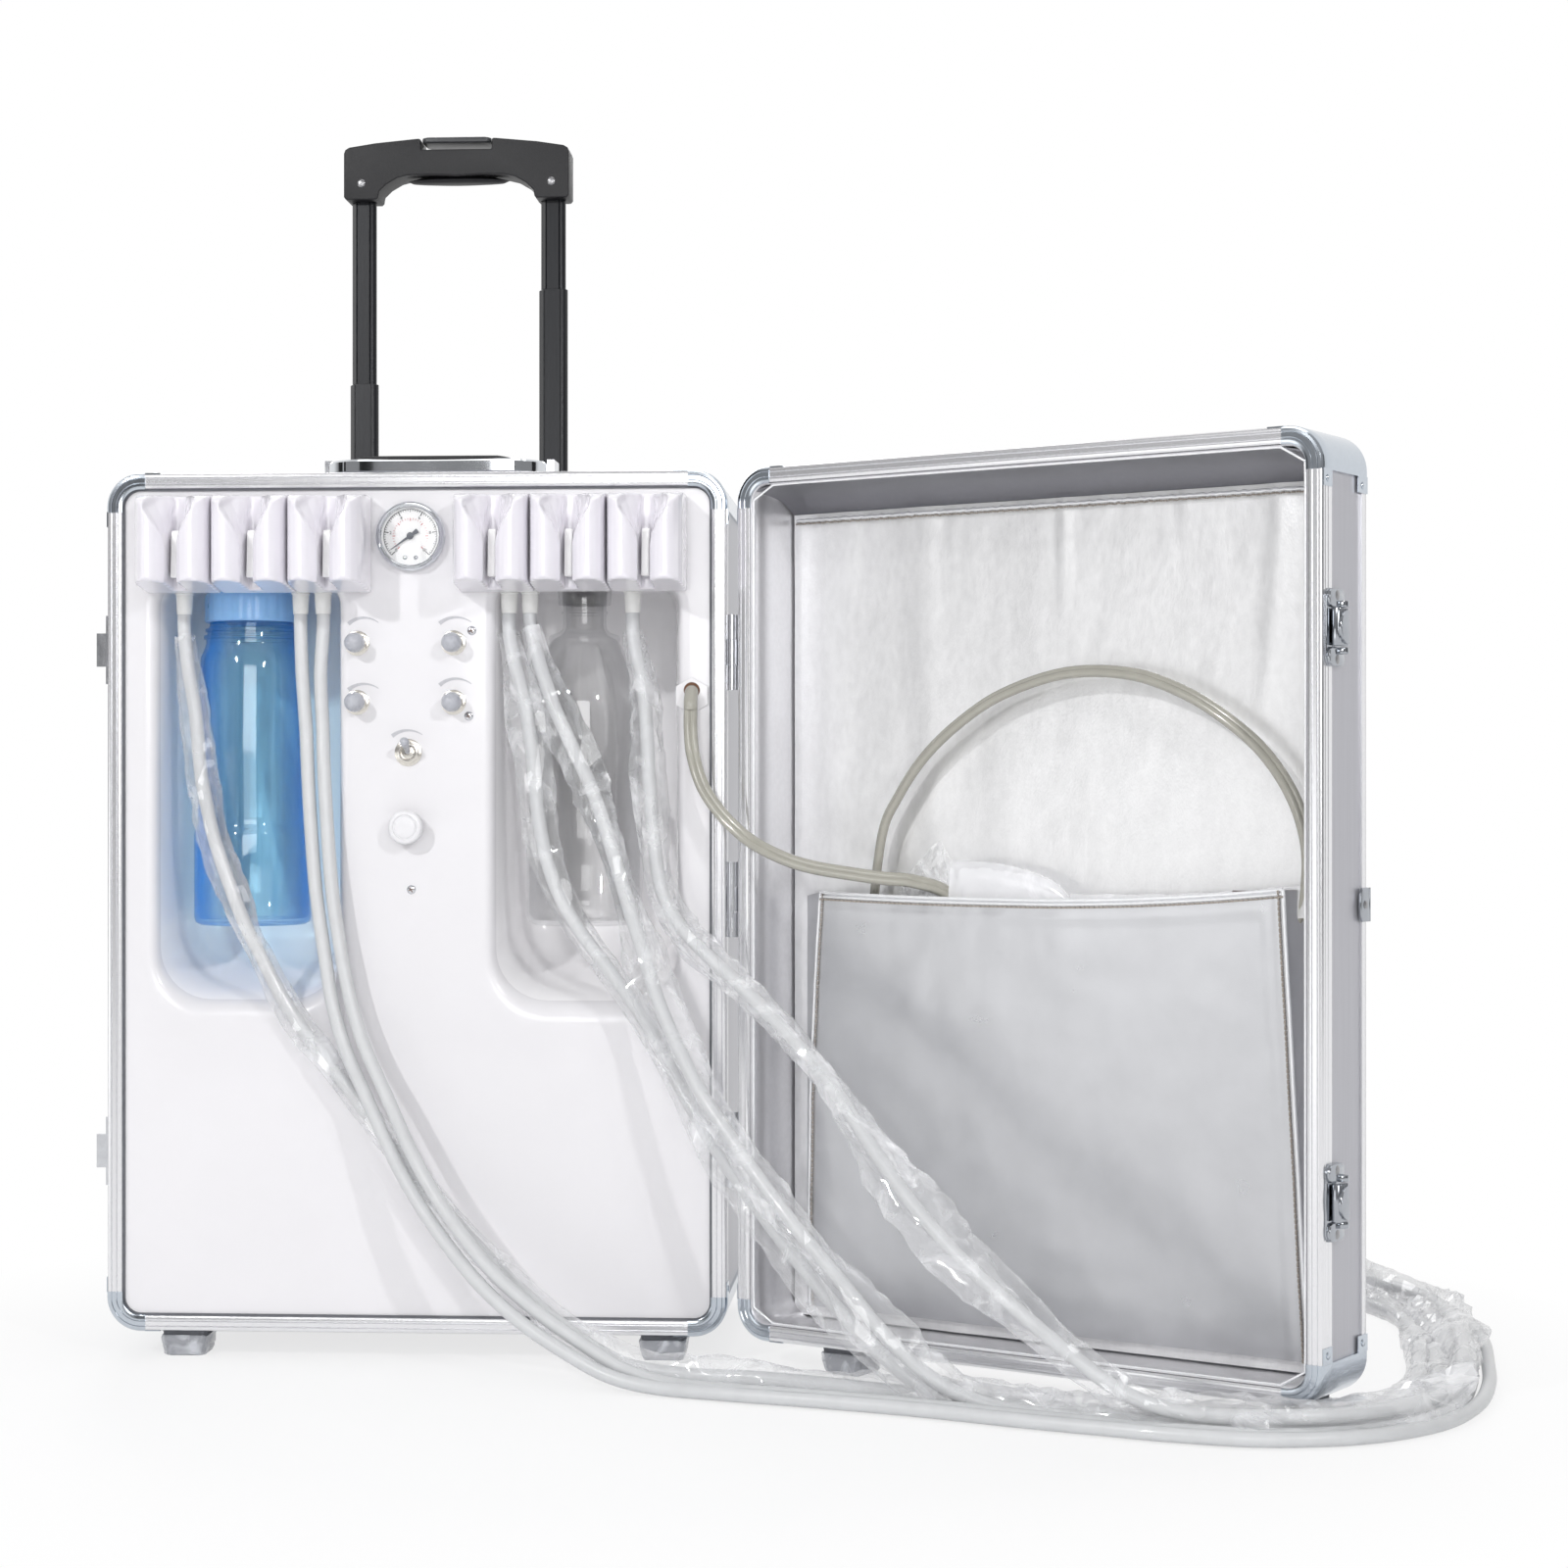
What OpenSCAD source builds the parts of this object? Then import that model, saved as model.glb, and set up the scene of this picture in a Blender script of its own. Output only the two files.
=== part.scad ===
// Portable dental unit in an upright trolley suitcase of aluminium-edged laminate.
// X runs to the right and Y to the back, as seen from in front of the open body. Z is up, the floor is z = 0.
// The pieces are drawn about the middle of the body's seam plane, and `placed` then shifts them all
// to an origin at the bottom centre of the box round the object.

/* [Case] */
// Outside width of the body and of the lid
case_w = 410; // [380:5:450]
// Outside height of the case without its feet
case_h = 565; // [520:5:620]
// Depth of the body behind the seam
body_d = 240; // [215:5:300]
// Depth of the lid
lid_d = 65; // [58:1:90]
// Outer radius of the case corners
corner_r = 22; // [18:1:30]
// Reach of a corner cap along each edge
corner_leg = 30; // [26:1:40]
// Face width of the front edge profile
rim_w = 10; // [8:1:14]
// Depth of the front edge profile
rim_d = 12; // [9:1:16]
// Sheet thickness of the edge skins
skin_t = 1.2; // [0.8:0.1:2]
// Thickness of the laminated panels
panel_t = 5; // [3:0.5:7]
// Angle of the lid from closed, at rest
lid_open = 149; // [120:1:175]
// Distance of the hinge axis outside the case wall
hinge_gap = 3.5; // [3:0.1:6]

/* [Feet and wheels] */
// Height of the feet under the case
foot_h = 18; // [14:1:24]
// Width of a foot where it meets the case
foot_w = 30; // [22:1:40]
// Radius of a wheel
wheel_r = 25; // [22:1:30]
// Width of a wheel
wheel_w = 22; // [16:1:28]
// Radius of a wheel axle
axle_r = 3; // [2:0.5:4]

/* [Front panel] */
// Thickness of the vacuum-formed front panel
face_t = 3; // [2:0.5:4]
// Distance of the panel's face behind the seam
face_y = 4; // [3:0.5:6]
// Half width of a bottle recess at the face
tub_half = 60; // [52:1:64]
// Depth of a bottle recess behind the face
tub_d = 90; // [86:1:110]
// Height of a recess, from its lower lip to its roof
tub_h = 276; // [262:1:300]
// Distance of a recess's roof below the case's top
roof_drop = 71; // [66:1:80]
// Rise of a recess floor from its lip to its back
tub_rise = 26; // [10:1:40]
// Draft of a recess side wall
tub_draft = 6; // [2:1:10]
// Radius of the back corners of a recess
tub_corner = 20; // [12:1:30]

/* [Bottles] */
// Height of the bottles' undersides above a recess's lower lip
bottle_rise = 48; // [40:1:56]
// Radius of a bottle near its base
bottle_r = 39; // [34:0.5:42]
// Wall of a bottle
bottle_wall = 2; // [1:0.5:3]
// Clearance of a bottle to the back of its recess
bottle_gap = 7; // [4:0.5:12]
// Radius of the water bottle's cap
cap_r = 31.5; // [30:0.5:34]

/* [Handpiece holders] */
// Width of one holder with its gap
holder_pitch = 50; // [44:1:52]
// Height of a holder
holder_h = 58; // [50:1:64]
// Reach of a holder in front of the seam
holder_reach = 42; // [36:1:48]
// Width of the lever slot
slot_w = 8; // [6:0.5:12]
// Width of a holder's cradle between its horns
cradle_w = 30; // [24:1:36]

/* [Controls] */
// Radius of a valve knob
knob_r = 6.5; // [5:0.5:8]
// Radius of a knob's stem
stem_r = 2; // [1.5:0.1:2.5]
// Outer radius of the pressure gauge's bezel
gauge_r = 22.5; // [20:0.5:26]
// Radius of the scaler knob
scaler_r = 11; // [8:0.5:14]
// Running clearance round pins and stems
run_gap = 0.05; // [0.02:0.01:0.1]

/* [Telescopic handle] */
// Width of the innermost tubes
tube_w = 18.6; // [16:0.2:22]
// Depth of the innermost tubes
tube_t = 10; // [8:0.5:14]
// Wall of the handle tubes
tube_wall = 1.2; // [0.8:0.1:2]
// Gap between one tube and the next
tube_gap = 0.3; // [0.2:0.05:0.5]
// Half the distance between the tube axes
tube_half = 70.5; // [60:0.5:85]
// Top of the left middle tube above the case, at rest
mid_left_out = 93; // [60:1:120]
// Top of the right middle tube above the case, at rest
mid_right_out = 162; // [125:1:175]
// Top of the grip above the case, at rest
grip_out = 274; // [265:1:330]
// Height of the grip's legs
grip_h = 46; // [40:1:56]
// Depth of the grip, front to back
grip_d = 26; // [22:1:32]

/* [Hoses] */
// Outer diameter of the hoses
hose_d = 9; // [8:0.5:10]

/* [Hidden] */
$fn = 48;

// ---- derived places of the case ----
case_low = foot_h;
case_top = foot_h + case_h;
case_mid = foot_h + case_h / 2;
side_x = case_w / 2;
hinge_x = side_x + hinge_gap;
seam_gap = 0.3;            // half of the gap between the two front profiles
fit_gap = 0.05;            // gap round a panel in its edges
panel_in = skin_t + fit_gap;              // outer face of a panel inside the case's outline
wall_in = panel_in + panel_t;             // inner face of a panel
inner_x = side_x - wall_in;
swing = 180 - lid_open;    // angle of the lid from the body's plane
lid_reach = side_x + hinge_x;             // from the hinge axis to the lid's free edge
keeper_out = 8;            // reach of a latch keeper beside the body
back_in = body_d - panel_in - panel_t - fit_gap;   // inner face of the body's back panel

// ---- derived places of the telescopic handle ----
mid_w = tube_w + 2 * (tube_gap + tube_wall);
mid_t = tube_t + 2 * (tube_gap + tube_wall);
outer_w = mid_w + 2 * (tube_gap + tube_wall);
outer_t = mid_t + 2 * (tube_gap + tube_wall);
back_gap = 0.3;            // gap between the case's back and the handle
trolley_x = -13;
trolley_y = body_d + back_gap + outer_t / 2;
grip_top = case_top + grip_out;
grip_low = grip_top - grip_h;
tube_run = 500;            // length of a sliding tube below its top

// ---- the box round the object, and the shift to its bottom centre ----
x_lo = -side_x - keeper_out;
x_hi = hinge_x + lid_reach * cos(swing) + lid_d * sin(swing);
y_lo = -lid_reach * sin(swing) + seam_gap * cos(swing);
y_hi = trolley_y + grip_d / 2;
shift = [-(x_lo + x_hi) / 2, -(y_lo + y_hi) / 2, 0];

// ---- places on the front panel ----
tub_top = case_top - roof_drop;
tub_low = tub_top - tub_h;
tub_x = tub_half + 52;
water_x = -tub_x - 7;
waste_x = tub_x - 6;
face_back = face_y + face_t;
bottle_low = tub_low + bottle_rise;
bottle_y = face_y + tub_d - bottle_gap - bottle_r;
left_bank_x = -(2 * holder_pitch + 4);
right_bank_x = 2 * holder_pitch + 4;
holder_low = tub_top - 3;
holder_top = holder_low + holder_h;
holder_gap = 0.5;
knob_left_x = -39;
knob_right_x = 25;
knob_high_z = tub_top - 41;
knob_low_z = knob_high_z - 39;
toggle_at = [-5, knob_low_z - 33];
scaler_at = [-5, toggle_at.y - 49];
gauge_at = [-3, tub_top + 29];
air_at = [side_x - 23, tub_top - 76];
screw_places = [[37, knob_high_z + 8], [35, knob_low_z - 9], [-3, scaler_at.y - 41]];
bush_r = 5;
scaler_stem_r = 3;
toggle_r = 5.8;
gland_r = 6;
gland_y = 15;
gland_xs = [-157, -79, -64, 60, 74, 142];
gland_low = tub_top - 15;   // where the hoses leave their glands

// ---------------------------------------------------------------- helpers
module placed() { translate(shift) children(); }

// The lid's pieces are drawn closed in front of the body and then swung open about the hinge.
module at_lid() {
  placed() translate([hinge_x, 0, 0]) rotate([0, 0, lid_open]) translate([-hinge_x, 0, 0]) children();
}

// Rounded rectangle with true arcs, centred
module round_rect(w, h, r) {
  square([w - 2 * r, h], center = true);
  square([w, h - 2 * r], center = true);
  for (x = [-1, 1], y = [-1, 1]) translate([x * (w / 2 - r), y * (h / 2 - r)]) circle(r);
}

// Outline drawn in X and Z, solid from y0 to y1
module along_y(y0, y1) { translate([0, y1, 0]) rotate([90, 0, 0]) linear_extrude(y1 - y0) children(); }

// Outline drawn in Y and Z, solid from x0 to x1
module along_x(x0, x1) { translate([x0, 0, 0]) rotate([90, 0, 90]) linear_extrude(x1 - x0) children(); }

// Box between two corners
module box(lo, hi) { translate(lo) cube(hi - lo); }

// The case's outline set in by `inset`, from y0 to y1
module case_outline(inset, y0, y1) {
  along_y(y0, y1) translate([0, case_mid])
    round_rect(case_w - 2 * inset, case_h - 2 * inset, corner_r - min(inset, corner_r - 2));
}

// Rod along Y from y0 to y1
module rod_y(x, z, r, y0, y1) { translate([x, y1, z]) rotate([90, 0, 0]) cylinder(r = r, h = y1 - y0); }

// Rod along X from x0 to x1
module rod_x(y, z, r, x0, x1) { translate([x0, y, z]) rotate([0, 90, 0]) cylinder(r = r, h = x1 - x0); }

// Ring of the case's outline, `inner` deep from outside, between y0 and y1
module case_ring(outer, inner, y0, y1) {
  difference() {
    case_outline(outer, y0, y1);
    case_outline(inner, y0 - 1, y1 + 1);
  }
}

// The four corner blocks that the caps cover
module corner_blocks(y0, y1) {
  for (x = [-1, 1], z = [-1, 1])
    translate([x * side_x, (y0 + y1) / 2, case_mid + z * case_h / 2])
      cube([2 * corner_leg, y1 - y0, 2 * corner_leg], center = true);
}

// Full edge frame of a shell with depth d: front profile, side skin and back angle
module edge_frame(d) {
  difference() {
    case_ring(0, rim_w, seam_gap, rim_d);
    for (u = [0.3, 0.62]) case_ring(rim_w * u, rim_w * u + 0.8, seam_gap - 1, seam_gap + 0.7);
    for (v = [0.4, 0.7]) case_ring(-1, 0.6, rim_d * v, rim_d * v + 0.8);
  }
  case_ring(0, skin_t, d - rim_d - 2, d);
  case_ring(0, rim_d + 2, d - skin_t, d);
}

// Clearance for the wheel housings in the back bottom corners
wheel_y = body_d - 13;
housing_w = wheel_w + 10;
wheel_x = side_x - corner_leg - housing_w / 2 - 1;
housing_top = 2 * wheel_r + 6;
housing_front = wheel_y - wheel_r - 5;
module wheel_notches(gap) {
  for (s = [-1, 1])
    box([s * wheel_x - housing_w / 2 - gap, housing_front - gap, case_low - 5],
        [s * wheel_x + housing_w / 2 + gap, body_d + 5, housing_top + gap]);
}

module shell_panels(d) {
  y0 = rim_d + fit_gap;
  y1 = d - skin_t - fit_gap;
  z0 = case_low + corner_r;
  z1 = case_top - corner_r;
  for (s = [-1, 1]) box([s > 0 ? inner_x : -inner_x - panel_t, y0, z0],
                        [s > 0 ? inner_x + panel_t : -inner_x, y1, z1]);
  for (z = [case_low + panel_in, case_top - wall_in])
    box([-side_x + corner_r, y0, z], [side_x - corner_r, y1, z + panel_t]);
  along_y(y1 - panel_t, y1) translate([0, case_mid])
    round_rect(case_w - 2 * (wall_in + fit_gap), case_h - 2 * (wall_in + fit_gap), corner_r - wall_in);
}

// ---------------------------------------------------------------- body shell
module body_panels() {
  color("lavender") placed() difference() {
    shell_panels(body_d);
    wheel_notches(fit_gap);
  }
}

module body_edges() {
  color("silver") placed() difference() {
    edge_frame(body_d);
    corner_blocks(-1, body_d + 1);
    wheel_notches(fit_gap);
  }
}

module body_corners() {
  color("gainsboro") placed() intersection() {
    union() {
      edge_frame(body_d);
      case_ring(0, skin_t, rim_d - 1, body_d - rim_d);
    }
    corner_blocks(-1, body_d + 1);
  }
}

// ---------------------------------------------------------------- front panel
// A recess's inside, grown by `o` on every side
module tub_plan(o) {
  polygon([[-tub_half - o, -o], [tub_half + o, -o], [tub_half - tub_draft + o, tub_d - tub_corner],
           [-tub_half + tub_draft - o, tub_d - tub_corner]]);
  translate([-tub_half + tub_draft + tub_corner, -o])
    square([2 * (tub_half - tub_draft - tub_corner), tub_d + 2 * o]);
  for (s = [-1, 1])
    translate([s * (tub_half - tub_draft - tub_corner), tub_d - tub_corner]) circle(tub_corner + o);
}

module tub(x, o) {
  slope = atan(tub_rise / tub_d);
  translate([x, face_y, 0]) difference() {
    translate([0, 0, tub_low - o]) linear_extrude(tub_top - tub_low + 2 * o) tub_plan(o);
    translate([0, 0, tub_low - o / cos(slope)]) rotate([slope, 0, 0])
      translate([-2 * tub_half, -50, -200]) cube([4 * tub_half, 200, 200]);
  }
}

module front_panel() {
  color("white") placed() difference() {
    union() {
      case_outline(rim_w + 0.3, face_y, face_back);
      intersection() {
        for (s = [-1, 1]) tub(s * tub_x, face_t);
        box([-side_x, face_y, 0], [side_x, body_d, case_top]);
      }
    }
    for (s = [-1, 1]) tub(s * tub_x, 0);
    for (s = [-1, 1]) box([s * tub_x - tub_half, face_y - 1, tub_low], [s * tub_x + tub_half, face_y + 1, tub_top]);
    for (x = [knob_left_x, knob_right_x], z = [knob_high_z, knob_low_z]) rod_y(x, z, bush_r + 0.1, 0, 10);
    rod_y(toggle_at.x, toggle_at.y, toggle_r + 0.1, 0, 10);
    rod_y(scaler_at.x, scaler_at.y, bush_r + 0.1, 0, 10);
    rod_y(gauge_at.x, gauge_at.y, gauge_r - 2.3, 0, 10);
    rod_y(air_at.x, air_at.y, gland_r - 1.9, 0, 10);
    for (x = gland_xs) translate([x, gland_y, tub_top - 1]) cylinder(r = gland_r - 1.9, h = face_t + 2);
    for (p = screw_places) rod_y(p.x, p.y, 1.6, 0, 10);
  }
}

module panel_screws() {
  color("dimgray") placed() for (p = screw_places) {
    difference() {
      rod_y(p.x, p.y, 3, face_y - 1.4, face_y);
      for (a = [0, 90]) translate([p.x, face_y - 1.3, p.y]) rotate([0, a, 0]) cube([4, 1, 0.7], center = true);
    }
    rod_y(p.x, p.y, 1.5, face_y, face_y + 9);
  }
}

// ---------------------------------------------------------------- holders and their levers
lever_z = holder_low + 32;
lever_y = -18;
pin_r = 1;
function holder_x(i) = i < 3 ? left_bank_x + (i - 1) * holder_pitch : right_bank_x + (i - 4) * holder_pitch;

module holder(x) {
  w = holder_pitch - holder_gap;
  deep = holder_reach + face_y;
  translate([x, 0, 0]) difference() {
    intersection() {
      translate([0, face_y - deep / 2, holder_low - 8]) linear_extrude(holder_h + 10) {
        round_rect(w, deep, 7);
        translate([-w / 2, 0]) square([w, deep / 2]);
      }
      along_y(-holder_reach - 1, face_y) {
        translate([0, holder_low + holder_h / 2 - 2]) round_rect(w, holder_h + 4, 4);
      }
      along_x(-w, w) polygon([[-holder_reach, holder_low], [face_y, holder_low - 5], [face_y, holder_top],
                              [-10, holder_top], [-holder_reach, holder_top - 4]]);
    }
    along_y(-holder_reach - 1, -8)
      polygon([[-cradle_w / 2, holder_top + 1], [-slot_w / 2, holder_low + 34], [-slot_w / 2, holder_low - 9],
               [slot_w / 2, holder_low - 9], [slot_w / 2, holder_low + 34], [cradle_w / 2, holder_top + 1]]);
    along_y(-9, -3) translate([0, holder_low + 12]) square([slot_w, 44], center = true);
    rod_x(lever_y, lever_z, pin_r + run_gap, -slot_w / 2 - 3, slot_w / 2 + 3);
  }
}

module handpiece_holders() {
  color("white") placed() for (i = [0:5]) holder(holder_x(i));
}

module holder_lever(i) {
  color("snow") placed() translate([holder_x(i), 0, 0]) {
    along_x(-slot_w / 2 + 0.5, slot_w / 2 - 0.5) {
      translate([lever_y, lever_z]) circle(2.2);
      polygon([[lever_y - 1.5, lever_z + 1], [lever_y + 1.5, lever_z + 1],
               [lever_y + 2.5, holder_low + 3], [lever_y - 3, holder_low + 3]]);
    }
    rod_x(lever_y, lever_z, pin_r, -slot_w / 2 - 2.5, slot_w / 2 + 2.5);
  }
}

// ---------------------------------------------------------------- pressure gauge
// Lathe about an axis along Y through [x, z]: the profile's height points to the front
module lathe_y(x, z) { translate([x, 0, z]) rotate([90, 0, 0]) rotate_extrude() children(); }

spindle_r = 0.8;
module gauge_case() {
  r = gauge_r;
  color("silver") placed() {
    rod_y(gauge_at.x, gauge_at.y, r - 3, -3.6, -2.5);
    lathe_y(gauge_at.x, gauge_at.y) polygon([
             [spindle_r + run_gap, -face_y + 3.5], [r - 3.4, -face_y + 3.5], [r - 3.4, -face_y + 7.7],
             [r - 2.4, -face_y + 9.5], [r - 1, -face_y + 9.5], [r, -face_y + 8], [r, -face_y],
             [r - 2.5, -face_y], [r - 2.5, -face_y - 28], [spindle_r + run_gap, -face_y - 28]]);
  }
}

module gauge_needle() {
  color("black") placed() {
    rod_y(gauge_at.x, gauge_at.y, spindle_r, -1.2, face_y + 20);
    rod_y(gauge_at.x, gauge_at.y, 2.2, -1.6, -0.8);
    translate([gauge_at.x, -0.8, gauge_at.y]) rotate([90, 0, 0]) linear_extrude(0.5)
      rotate(215) polygon([[-5, -1], [-5, 1], [2, 0.9], [16, 0.2], [16, -0.2], [2, -0.9]]);
  }
}

// ---------------------------------------------------------------- control valves and knobs
module knob(x, z) {
  color("darkgray") placed() lathe_y(x, z) {
    polygon([[0, -face_y - 22], [stem_r, -face_y - 22], [stem_r, 1], [knob_r - 0.7, 1], [knob_r, 2], [knob_r, 6],
             [0, 6]]);
    translate([0, 6]) intersection() {
      circle(knob_r);
      square(knob_r + 1);
    }
  }
}

// Threaded bush with its nut on the panel's face, and the valve's body behind
module bush(x, z, r, bore, back) {
  difference() {
    union() {
      rod_y(x, z, r, -0.4, back);
      translate([x, face_y, z]) rotate([90, 0, 0]) cylinder(r = r + 2.2, h = 3, $fn = 6);
      translate([x, face_back + 4, z]) rotate([90, 0, 0]) cylinder(r = r + 2.2, h = 4, $fn = 6);
    }
    rod_y(x, z, bore, -5, back - 4);
  }
}

manifold_y = 34;
module control_valves() {
  color("lightgray") placed() {
    for (x = [knob_left_x, knob_right_x], z = [knob_high_z, knob_low_z])
      bush(x, z, bush_r, stem_r + run_gap, manifold_y);
    bush(scaler_at.x, scaler_at.y, bush_r, scaler_stem_r + run_gap, manifold_y);
    difference() {
      bush(toggle_at.x, toggle_at.y, toggle_r, 3.4, manifold_y);
      lathe_y(toggle_at.x, toggle_at.y) polygon([[0, -7], [3.4, -7], [3.4, -2.6], [5.3, 1.2], [5.3, 6], [0, 6]]);
      rod_x(face_y, toggle_at.y, toggle_pin_r + run_gap, toggle_at.x - 5, toggle_at.x + 5);
    }
  }
}

toggle_tilt = 25;
toggle_pin_r = 0.8;
module toggle_lever() {
  color("gray") placed() translate([toggle_at.x, face_y, toggle_at.y]) rotate([-toggle_tilt, 0, 0]) {
    sphere(3.1);
    rod_x(0, 0, toggle_pin_r, -4.6, 4.6);
    rotate([90, 0, 0]) rotate_extrude() polygon([[0, 0], [1.9, 0], [2.8, 15], [2.3, 17], [0, 17]]);
  }
}

module scaler_knob() {
  color("ghostwhite") placed() difference() {
    lathe_y(scaler_at.x, scaler_at.y)
      polygon([[0, -face_y - 22], [scaler_stem_r, -face_y - 22], [scaler_stem_r, 1], [scaler_r, 1], [scaler_r, 8],
               [scaler_r - 1.5, 9.5], [0, 9.5]]);
    lathe_y(scaler_at.x, scaler_at.y) translate([scaler_r - 4, 8.6]) square([1, 2]);
  }
}

module manifold() {
  color("tan") placed() difference() {
    union() {
      box([knob_left_x - 9, manifold_y + 0.05, knob_low_z - 14],
          [knob_right_x + 9, manifold_y + 26, knob_high_z + 12]);
      box([-14, manifold_y + 0.05, scaler_at.y - 14], [6, manifold_y + 20, knob_low_z - 14]);
    }
    for (x = [knob_left_x, knob_right_x], z = [knob_high_z, knob_low_z])
      rod_y(x, z, 2.5, manifold_y, manifold_y + 14);
  }
}

// ---------------------------------------------------------------- bottles
neck_low = tub_top - 36;    // underside of the neck rings
cap_low = tub_top - 25;     // underside of the water bottle's cap
neck_top = tub_top - 4;

module water_bottle() {
  w = bottle_wall;
  color("dodgerblue") placed() translate([water_x, bottle_y, 0]) rotate_extrude() polygon([
    [0, bottle_low + 2], [bottle_r - 10, bottle_low], [bottle_r - 3, bottle_low], [bottle_r, bottle_low + 4],
    [bottle_r, bottle_low + 60], [bottle_r - 4, neck_low - 24], [bottle_r - 6, neck_low - 6], [cap_r - 1, neck_low],
    [cap_r - 1, cap_low - 1.5], [cap_r - 3, cap_low - 1.5], [cap_r - 3, neck_top],
    [cap_r - 3 - w, neck_top], [cap_r - 3 - w, neck_low], [bottle_r - 6 - w, neck_low - 8],
    [bottle_r - 4 - w, neck_low - 24], [bottle_r - w, bottle_low + 60], [bottle_r - w, bottle_low + 5],
    [bottle_r - 5, bottle_low + w + 1], [0, bottle_low + w + 2]]);
}

waste_neck_r = 14.5;
module waste_bottle() {
  w = bottle_wall;
  color("whitesmoke") placed() translate([waste_x, bottle_y, 0]) rotate_extrude() polygon([
    [0, bottle_low + 2], [bottle_r - 10, bottle_low], [bottle_r - 3, bottle_low], [bottle_r, bottle_low + 4],
    [bottle_r, neck_low - 42], [bottle_r - 6, neck_low - 22], [waste_neck_r + 9, neck_low - 2],
    [waste_neck_r + 9, neck_low + 1], [waste_neck_r, neck_low + 5], [waste_neck_r, neck_top],
    [waste_neck_r - w, neck_top], [waste_neck_r - w, neck_low + 3], [waste_neck_r + 7, neck_low - 3],
    [bottle_r - 6 - w, neck_low - 24], [bottle_r - w, neck_low - 43], [bottle_r - w, bottle_low + 5],
    [bottle_r - 5, bottle_low + w + 1], [0, bottle_low + w + 2]]);
}

module bottle_caps() {
  color("cornflowerblue") placed() {
    translate([water_x, bottle_y, 0]) difference() {
      translate([0, 0, cap_low]) cylinder(r = cap_r, h = tub_top - cap_low - fit_gap);
      translate([0, 0, cap_low - 1]) cylinder(r = cap_r - 2.7, h = neck_top - cap_low + 1.3);
      for (a = [0:15:345]) rotate(a) translate([cap_r, 0, cap_low - 1]) cylinder(r = 0.6, h = 19, $fn = 16);
    }
    translate([waste_x, bottle_y, 0]) difference() {
      translate([0, 0, tub_top - 14]) cylinder(r = waste_neck_r + 3, h = 14 - fit_gap);
      translate([0, 0, tub_top - 15]) cylinder(r = waste_neck_r + 0.3, h = neck_top - tub_top + 15.3);
    }
  }
}

// ---------------------------------------------------------------- hose glands
end_gap = 0.3;             // gap between a hose's end and the fitting that holds it
module gland(x) {
  translate([x, gland_y, 0]) {
    translate([0, 0, tub_top - 8]) cylinder(r = gland_r, h = 8);
    translate([0, 0, tub_top]) cylinder(r = gland_r - 2, h = face_t);
    translate([0, 0, tub_top + face_t]) cylinder(r = gland_r, h = 4);
    translate([0, 0, gland_low + end_gap]) cylinder(r1 = hose_d / 2 + 0.4, r2 = gland_r - 0.4, h = 7);
  }
}

air_y = -6;
air_low = air_at.y - 9;
module hose_glands() {
  color("whitesmoke") placed() {
    for (x = gland_xs) gland(x);
    rod_y(air_at.x, air_at.y, gland_r - 2, face_y, face_back);
    rod_y(air_at.x, air_at.y, gland_r, face_back, face_back + 4);
    translate([air_at.x, face_y, air_at.y]) rotate([90, 0, 0]) cylinder(r = 9, h = 3, $fn = 6);
    rod_y(air_at.x, air_at.y, 5.5, air_y, face_y - 2);
    translate([air_at.x, air_y, air_low + end_gap]) cylinder(r = 5.5, h = air_at.y - air_low + 4 - end_gap);
  }
}

// ---------------------------------------------------------------- works inside the body
motor_r = 48;
motor_half = 62;
head_r = 38;
head_len = 40;
base_t = 16;
mount_h = 16;
mount_r = 10;
module compressor() {
  y = body_d / 2;
  z = case_low + wall_in + mount_h + base_t + head_r + 6;
  base = [motor_half + head_r, motor_r + 2];
  color("darkslategray") placed() {
    rod_x(y, z, motor_r, -motor_half, motor_half);
    for (s = [-1, 1]) {
      rod_x(y, z, head_r, s > 0 ? motor_half - 1 : -motor_half - head_len + 1,
            s > 0 ? motor_half + head_len - 1 : 1 - motor_half);
      box([s * (motor_half + head_len / 2) - 17, y - 20, z + 30],
          [s * (motor_half + head_len / 2) + 17, y + 20, z + 72]);
    }
    box([-base.x, y - base.y, z - head_r - 6 - base_t], [base.x, y + base.y, z - head_r - 6]);
    for (s = [-1, 1], t = [-1, 1])
      translate([s * (base.x - 20), y + t * (base.y - 10), case_low + wall_in + fit_gap])
        cylinder(r = mount_r, h = mount_h);
  }
}

tank_r = 45;
tank_half = 120;
tank_wall = 2.5;
tank_gap = 18.7;           // room for the tank's brackets
module air_tank() {
  y = back_in - tank_gap - tank_r;
  z = case_mid + 30;
  color("steelblue") placed() {
    difference() {
      union() {
        rod_x(y, z, tank_r, -tank_half, tank_half);
        rod_x(y, z, 8, tank_half - 1, tank_half + 16);
      }
      rod_x(y, z, tank_r - tank_wall, -tank_half + tank_wall, tank_half - tank_wall);
      rod_x(y, z, 5, 0, tank_half + 20);
    }
    for (s = [-1, 1]) box([s * tank_half * 2 / 3 - 10, y + tank_r - 1, z - 15],
                          [s * tank_half * 2 / 3 + 10, back_in - fit_gap, z + 15]);
  }
}

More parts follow.
